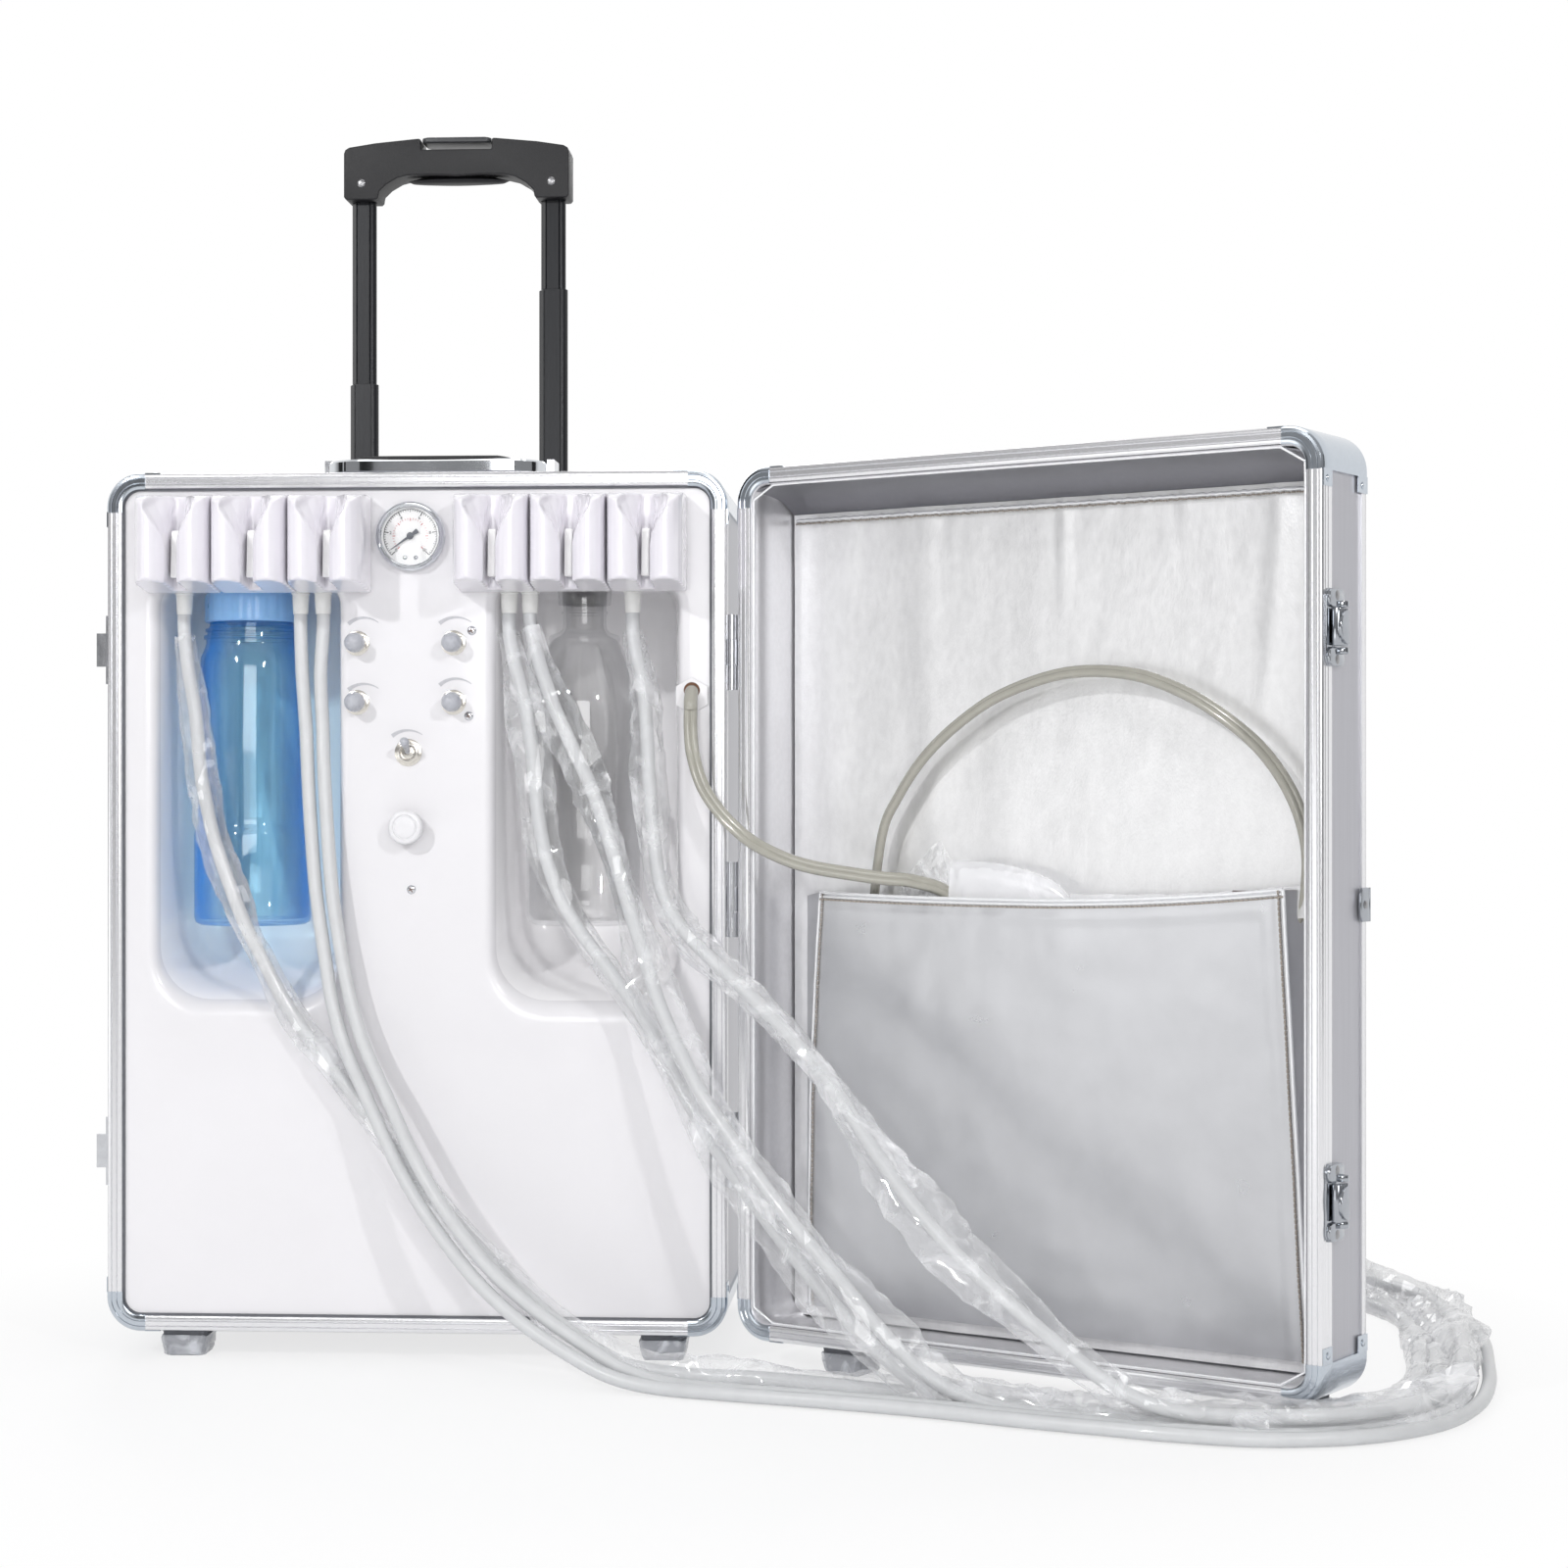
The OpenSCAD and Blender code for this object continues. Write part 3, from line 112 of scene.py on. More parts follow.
def film(name, color, lo, hi, scale, rough=0.12, crease=0.0, tint=(1, 1, 1)):
    """Thin clear film or plastic: see-through where it faces the eye, denser at its edges and creases. What shows
    through takes the tint."""
    m = mat(name, color, rough=rough, bump=0.35, fine=scale * 1.6, grain=scale, depth=0.0005, coat=0.3)
    tree = m.node_tree
    weight = node(tree, "LayerWeight", {"Blend": 0.45})
    edge = node(tree, "MapRange", {"Value": weight.outputs["Facing"], "To Min": lo, "To Max": hi},
                interpolation_type="SMOOTHSTEP")
    cloud = node(tree, "TexNoise", {"Vector": tree.nodes["Texture Coordinate"].outputs["Object"],
            "Scale": scale, "Detail": 5, "Distortion": 1.2})
    folds = node(tree, "MapRange", {"Value": cloud, "From Min": 0.52, "From Max": 0.70, "To Max": crease})
    dense = node(tree, "Math", (edge, folds), use_clamp=True)
    shadow = node(tree, "LightPath").outputs["Is Shadow Ray"]
    lit = node(tree, "Math", (shadow, -0.85, 1.0), operation="MULTIPLY_ADD")  # film casts next to no shadow
    share = node(tree, "Math", (dense, lit), operation="MULTIPLY")
    clear = node(tree, "BsdfTransparent", {"Color": (*tint, 1)})
    sheet = node(tree, "MixShader", (share, clear, tree.nodes["Principled BSDF"]))
    mirror = node(tree, "BsdfGlossy", {"Roughness": rough, "Normal": tree.nodes["Bump"]})
    fresnel = node(tree, "MapRange", {"Value": weight.outputs["Fresnel"], "To Min": 0.035, "To Max": 0.20})
    shine = node(tree, "Math", (fresnel, lit), operation="MULTIPLY")  # the mirror share of every smooth film
    feed(tree, tree.nodes["Material Output"], {"Surface": node(tree, "MixShader", (shine, sheet, mirror))})
    return m


LAMINATE = mat("brushed_laminate", (0.49, 0.49, 0.525), 0.36, 0.55, 0.04, 500, 0.10, 2500, stretch=(1, 1,
        0.02))
EDGE = mat("edge_aluminium", (0.81, 0.81, 0.83), 0.24, 0.85, 0.015, 600, 0.03, 2500, rvar=0.03)
CAP = mat("corner_chrome", (0.54, 0.585, 0.64), 0.16, 1.0, 0.02, 300, 0.02, 900, rvar=0.03)
FACE = mat("vacuum_formed_sheet", (0.785, 0.775, 0.795), 0.24, 0, 0.008, 25, 0.05, 60, coat=0.3, depth=0.0006,
           rvar=0.03)
# The recess faces take a whiter copy of the formed sheet: painted light that lifts the shade in the recesses.
WELL_PAINTED_LIGHT = mat("recess_sheet_painted_light", (0.93, 0.92, 0.935), 0.24, 0, 0.008, 25, 0.05, 60, coat=0.3, depth=0.0006,
        rvar=0.03)
HOLDER = mat("holder_plastic", (0.83, 0.81, 0.86), 0.15, 0, 0.008, 60, 0.03, 140, coat=0.6, rvar=0.03)
LEVER = mat("lever_plastic", (0.90, 0.90, 0.89), 0.25, 0, 0.02, 120, 0.05, 500, coat=0.3)
FELT = mat("slot_pad", (0.16, 0.08, 0.05), 0.9, 0, 0.2, 700, 0.5, 2500)
SCREW = mat("screw_steel", (0.33, 0.33, 0.34), 0.35, 1, 0.1, 400, 0.1, 1500)
CHROME = mat("polished_chrome", (0.66, 0.68, 0.71), 0.07, 1, 0.03, 40, 0.03, 300)
LATCH = mat("latch_chrome", (0.40, 0.42, 0.45), 0.11, 1, 0.03, 200, 0.04, 600)
STEEL = mat("plated_steel", (0.66, 0.67, 0.70), 0.22, 1, 0.06, 200, 0.08, 1200)
NICKEL = mat("nickel", (0.72, 0.69, 0.64), 0.2, 1, 0.05, 300, 0.05, 900)
DIAL = mat("dial_face", (0.93, 0.93, 0.93), 0.5, 0, 0.01, 200, 0.02, 800)
INK = mat("dial_ink", (0.05, 0.05, 0.06), 0.5, 0, 0.1, 500, 0.02, 900)
RED = mat("dial_red", (0.55, 0.05, 0.05), 0.5, 0, 0.1, 500, 0.02, 900)
NEEDLE = mat("needle_paint", (0.12, 0.13, 0.15), 0.4, 0.2, 0.1, 600, 0.05, 900)
MARK = mat("panel_print", (0.50, 0.50, 0.53), 0.5, 0, 0.06, 700, 0.05, 1500)
KNOB = mat("knob_plastic", (0.44, 0.45, 0.49), 0.28, 0, 0.04, 300, 0.08, 1100, coat=0.3)
DISC = mat("white_knob", (0.77, 0.765, 0.785), 0.3, 0, 0.02, 200, 0.05, 700, coat=0.2)
WHITE = mat("white_fitting", (0.84, 0.84, 0.82), 0.35, 0, 0.03, 200, 0.08, 800)
BLUE_CAP = mat("blue_cap", (0.30, 0.56, 0.93), 0.3, 0, 0.04, 120, 0.06, 700, coat=0.2, sss=0.1)
CLEAR_BLUE = film("clear_blue", (0.02, 0.28, 0.86), 0.02, 0.70, 14, 0.05, tint=(0.875, 0.972, 1.0))
CLEAR = film("clear_plastic", (0.86, 0.87, 0.91), 0.004, 0.20, 14, 0.04)
FILM = film("clear_film", (0.92, 0.925, 0.945), 0.10, 0.46, 26, 0.07, crease=0.42)
MILKY = film("folded_film", (0.92, 0.92, 0.94), 0.45, 0.80, 30, 0.12, crease=0.2)
WRAP = film("foot_film", (0.72, 0.74, 0.79), 0.34, 0.70, 60, 0.10, crease=0.4)
GLASS = film("gauge_glass", (0.9, 0.92, 0.95), 0.01, 0.06, 10, 0.03)
SILVER = mat("silver_cloth", (0.885, 0.885, 0.89), 0.35, 0.60, 0.03, 260, 0.35, 1100, pattern="leather",
             depth=0.0002, stretch=(1, 1, 0.5))
POUCH = mat("pocket_cloth", (0.62, 0.625, 0.645), 0.30, 0.80, 0.03, 40, 0.15, 1300, pattern="leather",
            depth=0.00015)
# A darker copy of the silver cloth for the lid's side walls: painted shade.
SIDE_PAINTED_SHADE = mat("silver_side_cloth_painted_shade", (0.70, 0.695, 0.72), 0.34, 0.55, 0.03, 300, 0.22, 1500, pattern="leather",
           depth=0.0002)
# A much darker copy of the silver cloth for the slack roof under the lid's top wall: painted shade.
ROOF_PAINTED_SHADE = mat("silver_roof_cloth_painted_shade", (0.26, 0.26, 0.285), 0.34, 0.7, 0.03, 300, 0.06, 1300, pattern="leather",
           depth=0.0002)
PIPING = mat("cloth_piping", (0.93, 0.94, 0.96), 0.22, 0.35, 0.03, 300, 0.15, 1200, coat=0.3)
THREAD = mat("thread", (0.36, 0.32, 0.28), 0.6, 0.1, 0.1, 900, 0.3, 3000)
HOSE = mat("hose_grey", (0.60, 0.61, 0.62), 0.34, 0, 0.03, 90, 0.08, 500, coat=0.2)
OLIVE = mat("air_hose", (0.37, 0.36, 0.315), 0.2, 0, 0.04, 90, 0.04, 400, coat=0.5)
BLACK_TUBE = mat("anodised_black", (0.007, 0.008, 0.011), 0.36, 0.2, 0.15, 500, 0.15, 1500, stretch=(1, 1,
        0.03))
GREY_TUBE = mat("anodised_dark", (0.012, 0.013, 0.016), 0.36, 0.2, 0.15, 500, 0.15, 1500, stretch=(1, 1, 0.03))
GRIP = mat("grip_plastic", (0.011, 0.011, 0.013), 0.5, 0, 0.12, 300, 0.35, 1400, pattern="leather")
RUBBER = mat("foot_rubber", (0.12, 0.125, 0.14), 0.6, 0, 0.12, 200, 0.25, 900)
TYRE = mat("tyre_rubber", (0.03, 0.03, 0.032), 0.7, 0, 0.15, 200, 0.3, 900)
HOUSING = mat("housing_plastic", (0.04, 0.04, 0.042), 0.5, 0, 0.12, 250, 0.3, 1300)
PAINT = mat("dark_paint", (0.10, 0.11, 0.12), 0.45, 0.3, 0.1, 200, 0.2, 800)
TANK = mat("tank_paint", (0.13, 0.20, 0.32), 0.35, 0.2, 0.08, 150, 0.12, 500)
BRASS = mat("brass", (0.62, 0.47, 0.20), 0.3, 1, 0.08, 200, 0.1, 900)
BOARD = mat("circuit_board", (0.04, 0.20, 0.09), 0.4, 0, 0.12, 400, 0.15, 1400)


# ---------------------------------------------------------------- mesh helpers
def make(name, verts, faces, material, where=BODY, body="", bevel=0.0, seg=2, angle=38, sub=0, data=None,
         instead=(), limit=30):
    """A mesh object from millimetres, bevelled and smoothed. It rides the named body, none for None, and else the
    case half that it is placed in."""
    if body == "":
        body = "lid" if where is LID else "body"
    if data is None:
        bm = bmesh.new()
        vs = [bm.verts.new(v) for v in verts]
        for f in faces:
            if len(set(f)) > 2:
                try:
                    bm.faces.new([vs[i] for i in dict.fromkeys(f)])
                except ValueError:
                    pass
        bmesh.ops.remove_doubles(bm, verts=bm.verts, dist=0.002)
        bmesh.ops.recalc_face_normals(bm, faces=bm.faces)
        if bevel:
            sharp = [e for e in bm.edges
                    if len(e.link_faces) == 2 and e.calc_face_angle(0) > math.radians(limit)]
            bmesh.ops.bevel(bm, geom=sharp, offset=bevel, segments=seg, profile=0.5, affect="EDGES",
                            clamp_overlap=True)
        data = bpy.data.meshes.new(name)
        bm.to_mesh(data)
        bm.free()
        data.transform(where)
        if sub:
            tmp = bpy.data.objects.new(name + "_tmp", data)
            bpy.context.collection.objects.link(tmp)
            md = tmp.modifiers.new("s", "SUBSURF")
            md.levels = md.render_levels = sub
            data = evaluated(tmp, name)
        for p in data.polygons:
            p.use_smooth = True
        data.set_sharp_from_angle(angle=math.radians(angle))
        data.materials.append(material)
    o = bpy.data.objects.new(name, data)
    bpy.context.collection.objects.link(o)
    if body:
        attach(o, body)
    if instead:
        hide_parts(*instead)
    return o


def evaluated(tmp, name):
    """The mesh of an object with its modifiers applied; the object itself goes."""
    dg = bpy.context.evaluated_depsgraph_get()
    data = bpy.data.meshes.new_from_object(tmp.evaluated_get(dg))
    data.name = name
    old = tmp.data
    bpy.data.objects.remove(tmp)
    if old.users == 0 and isinstance(old, bpy.types.Mesh):
        bpy.data.meshes.remove(old)
    return data


def rings(loops, cap=True):
    """Faces over equally long closed loops of points."""
    verts = [p for l in loops for p in l]
    n = len(loops[0])
    faces = []
    for i in range(len(loops) - 1):
        for j in range(n):
            a, b = i * n + j, i * n + (j + 1) % n
            faces.append((a, b, b + n, a + n))
    if cap:
        faces.append(tuple(range(n))[::-1])
        faces.append(tuple(range((len(loops) - 1) * n, len(loops) * n)))
    return verts, faces


def lathe(profile, at, axis="z", steps=64, wave=None):
    """Verts and faces of a turned shape. The profile is (radius, height) pairs; height runs along +Z, or to the
    front along -Y, or along +X."""
    loops = []
    for r, h in profile:
        l = []
        for i in range(steps):
            t = 2 * math.pi * i / steps
            q = max(r, 1e-3) * (1 + (wave(t, h) if wave else 0))
            x, y = q * math.cos(t), q * math.sin(t)
            p = {"z": (x, y, h), "y": (x, -h, y), "x": (h, x, y)}[axis]
            l.append((at[0] + p[0], at[1] + p[1], at[2] + p[2]))
        loops.append(l)
    return rings(loops, cap=True)


def merged(parts):
    verts, faces = [], []
    for v, f in parts:
        o = len(verts)
        verts += list(v)
        faces += [tuple(i + o for i in g) for g in f]
    return verts, faces


def prism(outline, lo, hi, axis="y"):
    """An outline of (u, v) pairs made solid: u, v are X, Z for axis y, Y, Z for axis x, X, Y for axis z."""
    put = {"y": lambda u, v, w: (u, w, v), "x": lambda u, v, w: (w, u, v), "z": lambda u, v, w: (u, v,
            w)}[axis]
    return rings([[put(u, v, lo) for u, v in outline], [put(u, v, hi) for u, v in outline]])


def block(lo, hi):
    return prism([(lo[0], lo[1]), (hi[0], lo[1]), (hi[0], hi[1]), (lo[0], hi[1])], lo[2], hi[2], "z")


def rrect(w, h, r, n=9, cx=0.0, cz=CASE_MID):
    """Points of a rounded rectangle, counter-clockwise from its right side."""
    r = max(r, 0.4)
    out = []
    for k, (sx, sz) in enumerate(((1, 1), (-1, 1), (-1, -1), (1, -1))):
        for i in range(n + 1):
            t = math.pi / 2 * (k + i / n)
            out.append((cx + sx * (w / 2 - r) + r * math.cos(t), cz + sz * (h / 2 - r) + r * math.sin(t)))
    return out


def catmull(p, steps):
    """The smooth curve through the points that the solids use too."""
    n = len(p)
    out = []
    for i in range(n - 1):
        a, b, c, d = (Vector(p[max(0, min(n - 1, i + k))]) for k in (-1, 0, 1, 2))
        for s in range(steps):
            t = s / steps
            out.append(0.5 * (2 * b + (c - a) * t + (2 * a - 5 * b + 4 * c - d) * t * t
                              + (3 * b - a - 3 * c + d) * t ** 3))
    return out + [Vector(p[-1])]


def frames(p):
    """A heading and two side directions at each point of a route, without twist."""
    out = []
    side = Vector((1, 0.1, 0))
    for i in range(len(p)):
        t = (p[min(i + 1, len(p) - 1)] - p[max(i - 1, 0)]).normalized()
        side = (side - side.dot(t) * t).normalized()
        out.append((t, side, t.cross(side)))
    return out


def sweep(p, radius, sides=16):
    """A tube along a route. radius is a number or a function of (index, angle)."""
    f = frames(p)
    loops = []
    for i, (q, (t, a, b)) in enumerate(zip(p, f)):
        l = []
        for j in range(sides):
            w = 2 * math.pi * j / sides
            r = radius(i, w) if callable(radius) else radius
            l.append(tuple(q + r * (math.cos(w) * a + math.sin(w) * b)))
        loops.append(l)
    return rings(loops)


def dome(at, normal, r=2.2, h=1.0, steps=14):
    """A rivet or screw head on a face."""
    n = Vector(normal).normalized()
    q = n.to_track_quat("Z", "Y")
    prof = [(r, 0), (r, h * 0.25), (r * 0.85, h * 0.7), (r * 0.5, h * 0.95), (0.02, h)]
    v, f = lathe(prof, (0, 0, 0), "z", steps)
    return [tuple(Vector(at) + q @ Vector(p)) for p in v], f


def dashes(line, length, pitch, r):
    """A row of stitches along a line of points."""
    lift, sink = Vector((0, 0.25, 0)), Vector((0, 0.3, 0))
    parts = []
    pts = [Vector(p) for p in line]
    acc = [0.0]
    for a, b in zip(pts, pts[1:]):
        acc.append(acc[-1] + (b - a).length)

    def point(s):
        for i in range(len(pts) - 1):
            if acc[i + 1] >= s:
                return pts[i].lerp(pts[i + 1], (s - acc[i]) / max(acc[i + 1] - acc[i], 1e-6))
        return pts[-1]

    s = 0.0
    while s + length < acc[-1]:
        a, m, b = point(s), point(s + length / 2) + 2 * lift, point(s + length)
        parts.append(sweep([a - sink, a + lift, m, b + lift, b - sink], r, 6))
        s += pitch
    return merged(parts)


def wrinkle(p, scale, seed=0.0, octaves=4):
    return noise.fractal(Vector(p) * scale + Vector((seed, seed * 1.7, seed * 0.3)), 0.7, 2.1, octaves)


# ---------------------------------------------------------------- camera, light and floor
cam = bpy.data.cameras.new("camera")
cam.lens, cam.sensor_width = 67.2, 36.0
cam.shift_y = 0.0125
cam_obj = bpy.data.objects.new("camera", cam)
bpy.context.collection.objects.link(cam_obj)
cam_obj.location = (0.1604, -1.9262, 0.3655)
cam_obj.rotation_euler = (math.radians(90), 0, math.radians(3.3))
bpy.context.scene.camera = cam_obj
bpy.context.scene.view_settings.view_transform = "Standard"


def area(name, at, target, size, watts):
    l = bpy.data.lights.new(name, "AREA")
    l.shape, l.size, l.size_y, l.energy = "RECTANGLE", size[0], size[1], watts
    o = bpy.data.objects.new(name, l)
    bpy.context.collection.objects.link(o)
    o.location = at
    o.rotation_euler = (Vector(target) - Vector(at)).to_track_quat("-Z", "Y").to_euler()
    return o


lights = [
    area("key", (-1.45, -2.3, 1.75), (-0.1, 0, 0.4), (0.10, 0.12), 26),
    area("key_right", (1.55, -2.3, 1.6), (0.05, 0, 0.4), (0.10, 0.12), 17),
    area("fill", (0.15, -3.0, 1.0), (0.1, 0, 0.35), (1.4, 1.0), 21),
    area("low_left", (-1.63, -1.54, 0.24), (0.35, -0.19, 0.27), (0.8, 0.46), 1.5),
    area("top", (0.1, 0.2, 2.4), (0, 0, 0.3), (1.6, 1.2), 10),
    area("back", (-0.5, 2.3, 1.5), (0, 0, 0.4), (1.4, 1.0), 14),
]
BLACK_CARD = mat("card_black", (0.02, 0.02, 0.02), 0.9, 0, 0.1, 5, 0.05, 20)
for at, w, h in (((-1.15, -3.3, 0.9), 0.35, 2.2), ((1.05, -3.3, 0.9), 0.3, 2.2), ((-3.0, -0.6, 0.8), 0.9, 1.8),
                 ((3.2, -0.2, 0.8), 0.9, 1.8)):
    data = bpy.data.meshes.new("card")
    q = (Vector((0, 0, 0.4)) - Vector(at)).to_track_quat("Z", "Y")
    data.from_pydata([q @ Vector((x * w / 2, y * h / 2, 0)) + Vector(at)
                      for x, y in ((-1, -1), (1, -1), (1, 1), (-1, 1))], [], [(0, 1, 2, 3)])
    data.materials.append(BLACK_CARD)
    card = bpy.data.objects.new("card", data)
    bpy.context.collection.objects.link(card)
    card.visible_camera = card.visible_shadow = False  # only reflections show them


def backdrop_rays(tree, share):
    """1 for rays that show the white backdrop: the camera's, and a share of what metal and glass reflect or pass."""
    path = node(tree, "LightPath")
    mirrored = node(tree, "Math", (path.outputs["Is Glossy Ray"], path.outputs["Is Transmission Ray"]),
                    use_clamp=True)
    part = node(tree, "Math", (mirrored, share), operation="MULTIPLY")
    return node(tree, "Math", (path.outputs["Is Camera Ray"], part), use_clamp=True)


WHITE_LIGHT = (1, 1, 1, 1)
world = bpy.data.worlds.new("world")
bpy.context.scene.world = world
world.use_nodes = True
tree = world.node_tree
tree.nodes.clear()
way = node(tree, "SeparateXYZ", (node(tree, "TexCoord").outputs["Generated"],))
studio = node(tree, "ValToRGB", {"Fac": node(tree, "MapRange", {"Value": way.outputs["Z"], "From Min": -1})})
stops = studio.color_ramp.elements
for place, c in ((0.0, 0.55), (0.46, 0.50), (0.54, 0.62), (1.0, 0.85)):
    stops.new(place).color = (c, c, c * 1.01, 1)
stops.remove(stops[0])
stops.remove(stops[-1])
soft = node(tree, "Background", {"Color": studio, "Strength": 0.5})
white = node(tree, "Background", {"Color": WHITE_LIGHT})
# The backdrop lies behind the object, the studio before it.
behind = node(tree, "MapRange", {"Value": way.outputs["Y"], "From Min": -0.1, "From Max": 0.35},
              interpolation_type="SMOOTHSTEP")
node(tree, "OutputWorld", {"Surface": node(tree, "MixShader", (backdrop_rays(tree, behind), soft, white))})

FLOOR_SIDE, FLOOR_CELLS, FLOOR_MID_Y = 9, 24, 0.8
floor_data = bpy.data.meshes.new("floor")
row_of = FLOOR_CELLS + 1
floor_data.from_pydata(
    [((i / FLOOR_CELLS - 0.5) * FLOOR_SIDE, (j / FLOOR_CELLS - 0.5) * FLOOR_SIDE + FLOOR_MID_Y, 0)
     for j in range(row_of) for i in range(row_of)], [],
    [(j * row_of + i, j * row_of + i + 1, (j + 1) * row_of + i + 1, (j + 1) * row_of + i)
     for j in range(FLOOR_CELLS) for i in range(FLOOR_CELLS)])
floor = bpy.data.objects.new("floor", floor_data)
bpy.context.collection.objects.link(floor)
floor_white = bpy.data.materials.new("floor_white")
floor_white.use_nodes = True
tree = floor_white.node_tree
paper = tree.nodes["Principled BSDF"]
feed(tree, paper, {"Base Color": (0.92, 0.92, 0.93, 1), "Roughness": 0.6})
reach = node(tree, "VectorMath", (node(tree, "NewGeometry").outputs["Position"],), operation="LENGTH")
fade = node(tree, "MapRange", {"Value": reach.outputs["Value"], "From Min": 0.4, "From Max": 0.66,
        "To Min": 0.72})
share = node(tree, "Math", (backdrop_rays(tree, fade), fade), operation="MULTIPLY")
glow = node(tree, "Emission", {"Color": WHITE_LIGHT})
feed(tree, tree.nodes["Material Output"], {"Surface": node(tree, "MixShader", (share, paper, glow))})
floor_data.materials.append(floor_white)

# ---------------------------------------------------------------- hoses, with real lengths
BUNDLE = [(342, -166), (388, -187), (435, -206), (480, -223), (531, -233), (587, -221), (634, -185), (665,
        -131), (684, -65), (696, 5), (706, 75), (710, 145), (702, 210), (678, 262), (640, 291), (600, 300),
        (570, 300)]
WAYS = {1: (4, 5.5, 0, [(-157, 15, 497), (-157, 15, 480), (-154, 13, 455), (-148, 9, 425), (-144, 5, 391),
        (-139, 0, 368), (-132, -4, 342), (-122, -6, 314), (-111, -8, 287), (-100, -9, 266), (-87, -10, 241),
        (-72, -10, 218), (-53, -12, 194), (-28, -15, 163), (2, -20, 126), (33, -27, 93), (68, -36, 60), (104,
        -45, 32), (142, -54, 11), (182, -62, 5.5), (225, -70, 5.5), (268, -86, 5.5), (312, -106, 5.5)]), 2: (0,
        5.5, 0, [(-79, 15, 497), (-79, 15, 480), (-77, 11, 450), (-73, 4, 415), (-71, 0, 388), (-68, -4, 350),
        (-64, -7, 308), (-58, -9, 268), (-52, -11, 234), (-42, -16, 204), (-27, -23, 174), (-5, -34, 132), (20,
        -48, 97), (50, -62, 64), (80, -74, 40), (112, -86, 22), (140, -96, 10), (170, -106, 5.5), (213, -122,
        5.5), (252, -134, 5.5), (298, -149, 5.5)]), 3: (1, 5.5, 0, [(-64, 15, 497), (-64, 15, 480), (-65, 12,
        450), (-62, 5, 415), (-60, -1, 388), (-57, -5, 350), (-53, -8, 308), (-47, -10, 270), (-40, -13, 238),
        (-30, -19, 209), (-14, -28, 178), (8, -40, 136), (33, -54, 101), (60, -62, 70), (90, -70, 46), (121,
        -80, 27), (148, -88, 13), (178, -95, 5.5), (217, -111, 5.5), (256, -123, 5.5), (302, -138, 5.5)]),
        4: (3, 5.5, 0, [(60, 15, 497), (60, 15, 480), (64, 10, 460), (72, 2, 432), (78, -3, 398), (82, -6,
        360), (88, -8, 330), (97, -9, 305), (110, -11, 283), (128, -15, 260), (148, -22, 234), (165, -30, 208),
        (182, -40, 178), (206, -55, 142), (234, -72, 107), (264, -90, 72), (296, -106, 40), (326, -120, 16)]),
        5: (2, 5.5, 1, [(74, 15, 497), (74, 15, 484), (78, 11, 468), (84, 4, 450), (94, -4, 425), (107, -8,
        398), (118, -11, 375), (127, -14, 350), (136, -18, 322), (145, -23, 294), (155, -30, 265), (165, -38,
        237), (178, -48, 210), (193, -58, 183), (210, -70, 160), (232, -86, 132), (258, -104, 102), (286, -119,
        72), (312, -130, 43), (338, -140, 21), (366, -152, 9)]), 6: (1.5, 15, 3, [(142, 15, 497), (142, 15,
        480), (145, 10, 462), (150, 4, 444), (153, -2, 410), (155, -6, 378), (158, -9, 345), (163, -12, 312),
        (174, -17, 289), (192, -24, 270), (212, -36, 253), (234, -52, 234), (258, -72, 211), (282, -94, 184),
        (304, -116, 154), (328, -138, 124), (356, -160, 96), (388, -180, 70), (420, -196, 46), (450, -205,
        26)]), }
AIR = [(182, -6, 427), (182, -6, 412), (184, -8, 396), (191, -14, 376), (204, -21, 358), (222, -29, 342),
       (243, -33, 331)]
AIR_LID = [(63, -1, 325), (82, 12, 321), (101, 22, 318), (120, 31, 316), (142, 38, 308), (158, 43, 286),
           (164, 46, 258), (158, 47, 237), (143, 47, 222), (123, 47, 217), (103, 47, 222), (88, 46, 237),
           (82, 45, 258), (81, 43, 288), (91, 39, 345), (104, 38, 370), (124, 37, 395), (150, 36, 416),
           (182, 36, 434), (226, 36, 446), (270, 36, 445), (305, 36, 434), (335, 36, 417), (360, 37, 396),
           (378, 38, 370), (387, 39, 342), (386, 41, 314), (378, 43, 286), (364, 45, 258), (343, 46, 233),
           (316, 46, 214), (288, 46, 206), (262, 46, 206)]


def lane(k, z, first):
    out = []
    for i in range(first, len(BUNDLE)):
        a, b = BUNDLE[max(i - 1, 0)], BUNDLE[min(i + 1, len(BUNDLE) - 1)]
        d = Vector((b[0] - a[0], b[1] - a[1])).normalized()
        out.append((BUNDLE[i][0] - d.y * 11 * k, BUNDLE[i][1] + d.x * 11 * k, z))
    return out


def resample(p, step):
    """Points along a line at even steps."""
    out, left = [Vector(p[0])], step
    for a, b in zip(p, p[1:]):
        a, b = Vector(a), Vector(b)
        d = (b - a).length
        while left < d:
            a = a + (b - a) * (left / d)
            d -= left
            out.append(a.copy())
            left = step
        left -= d
    return out


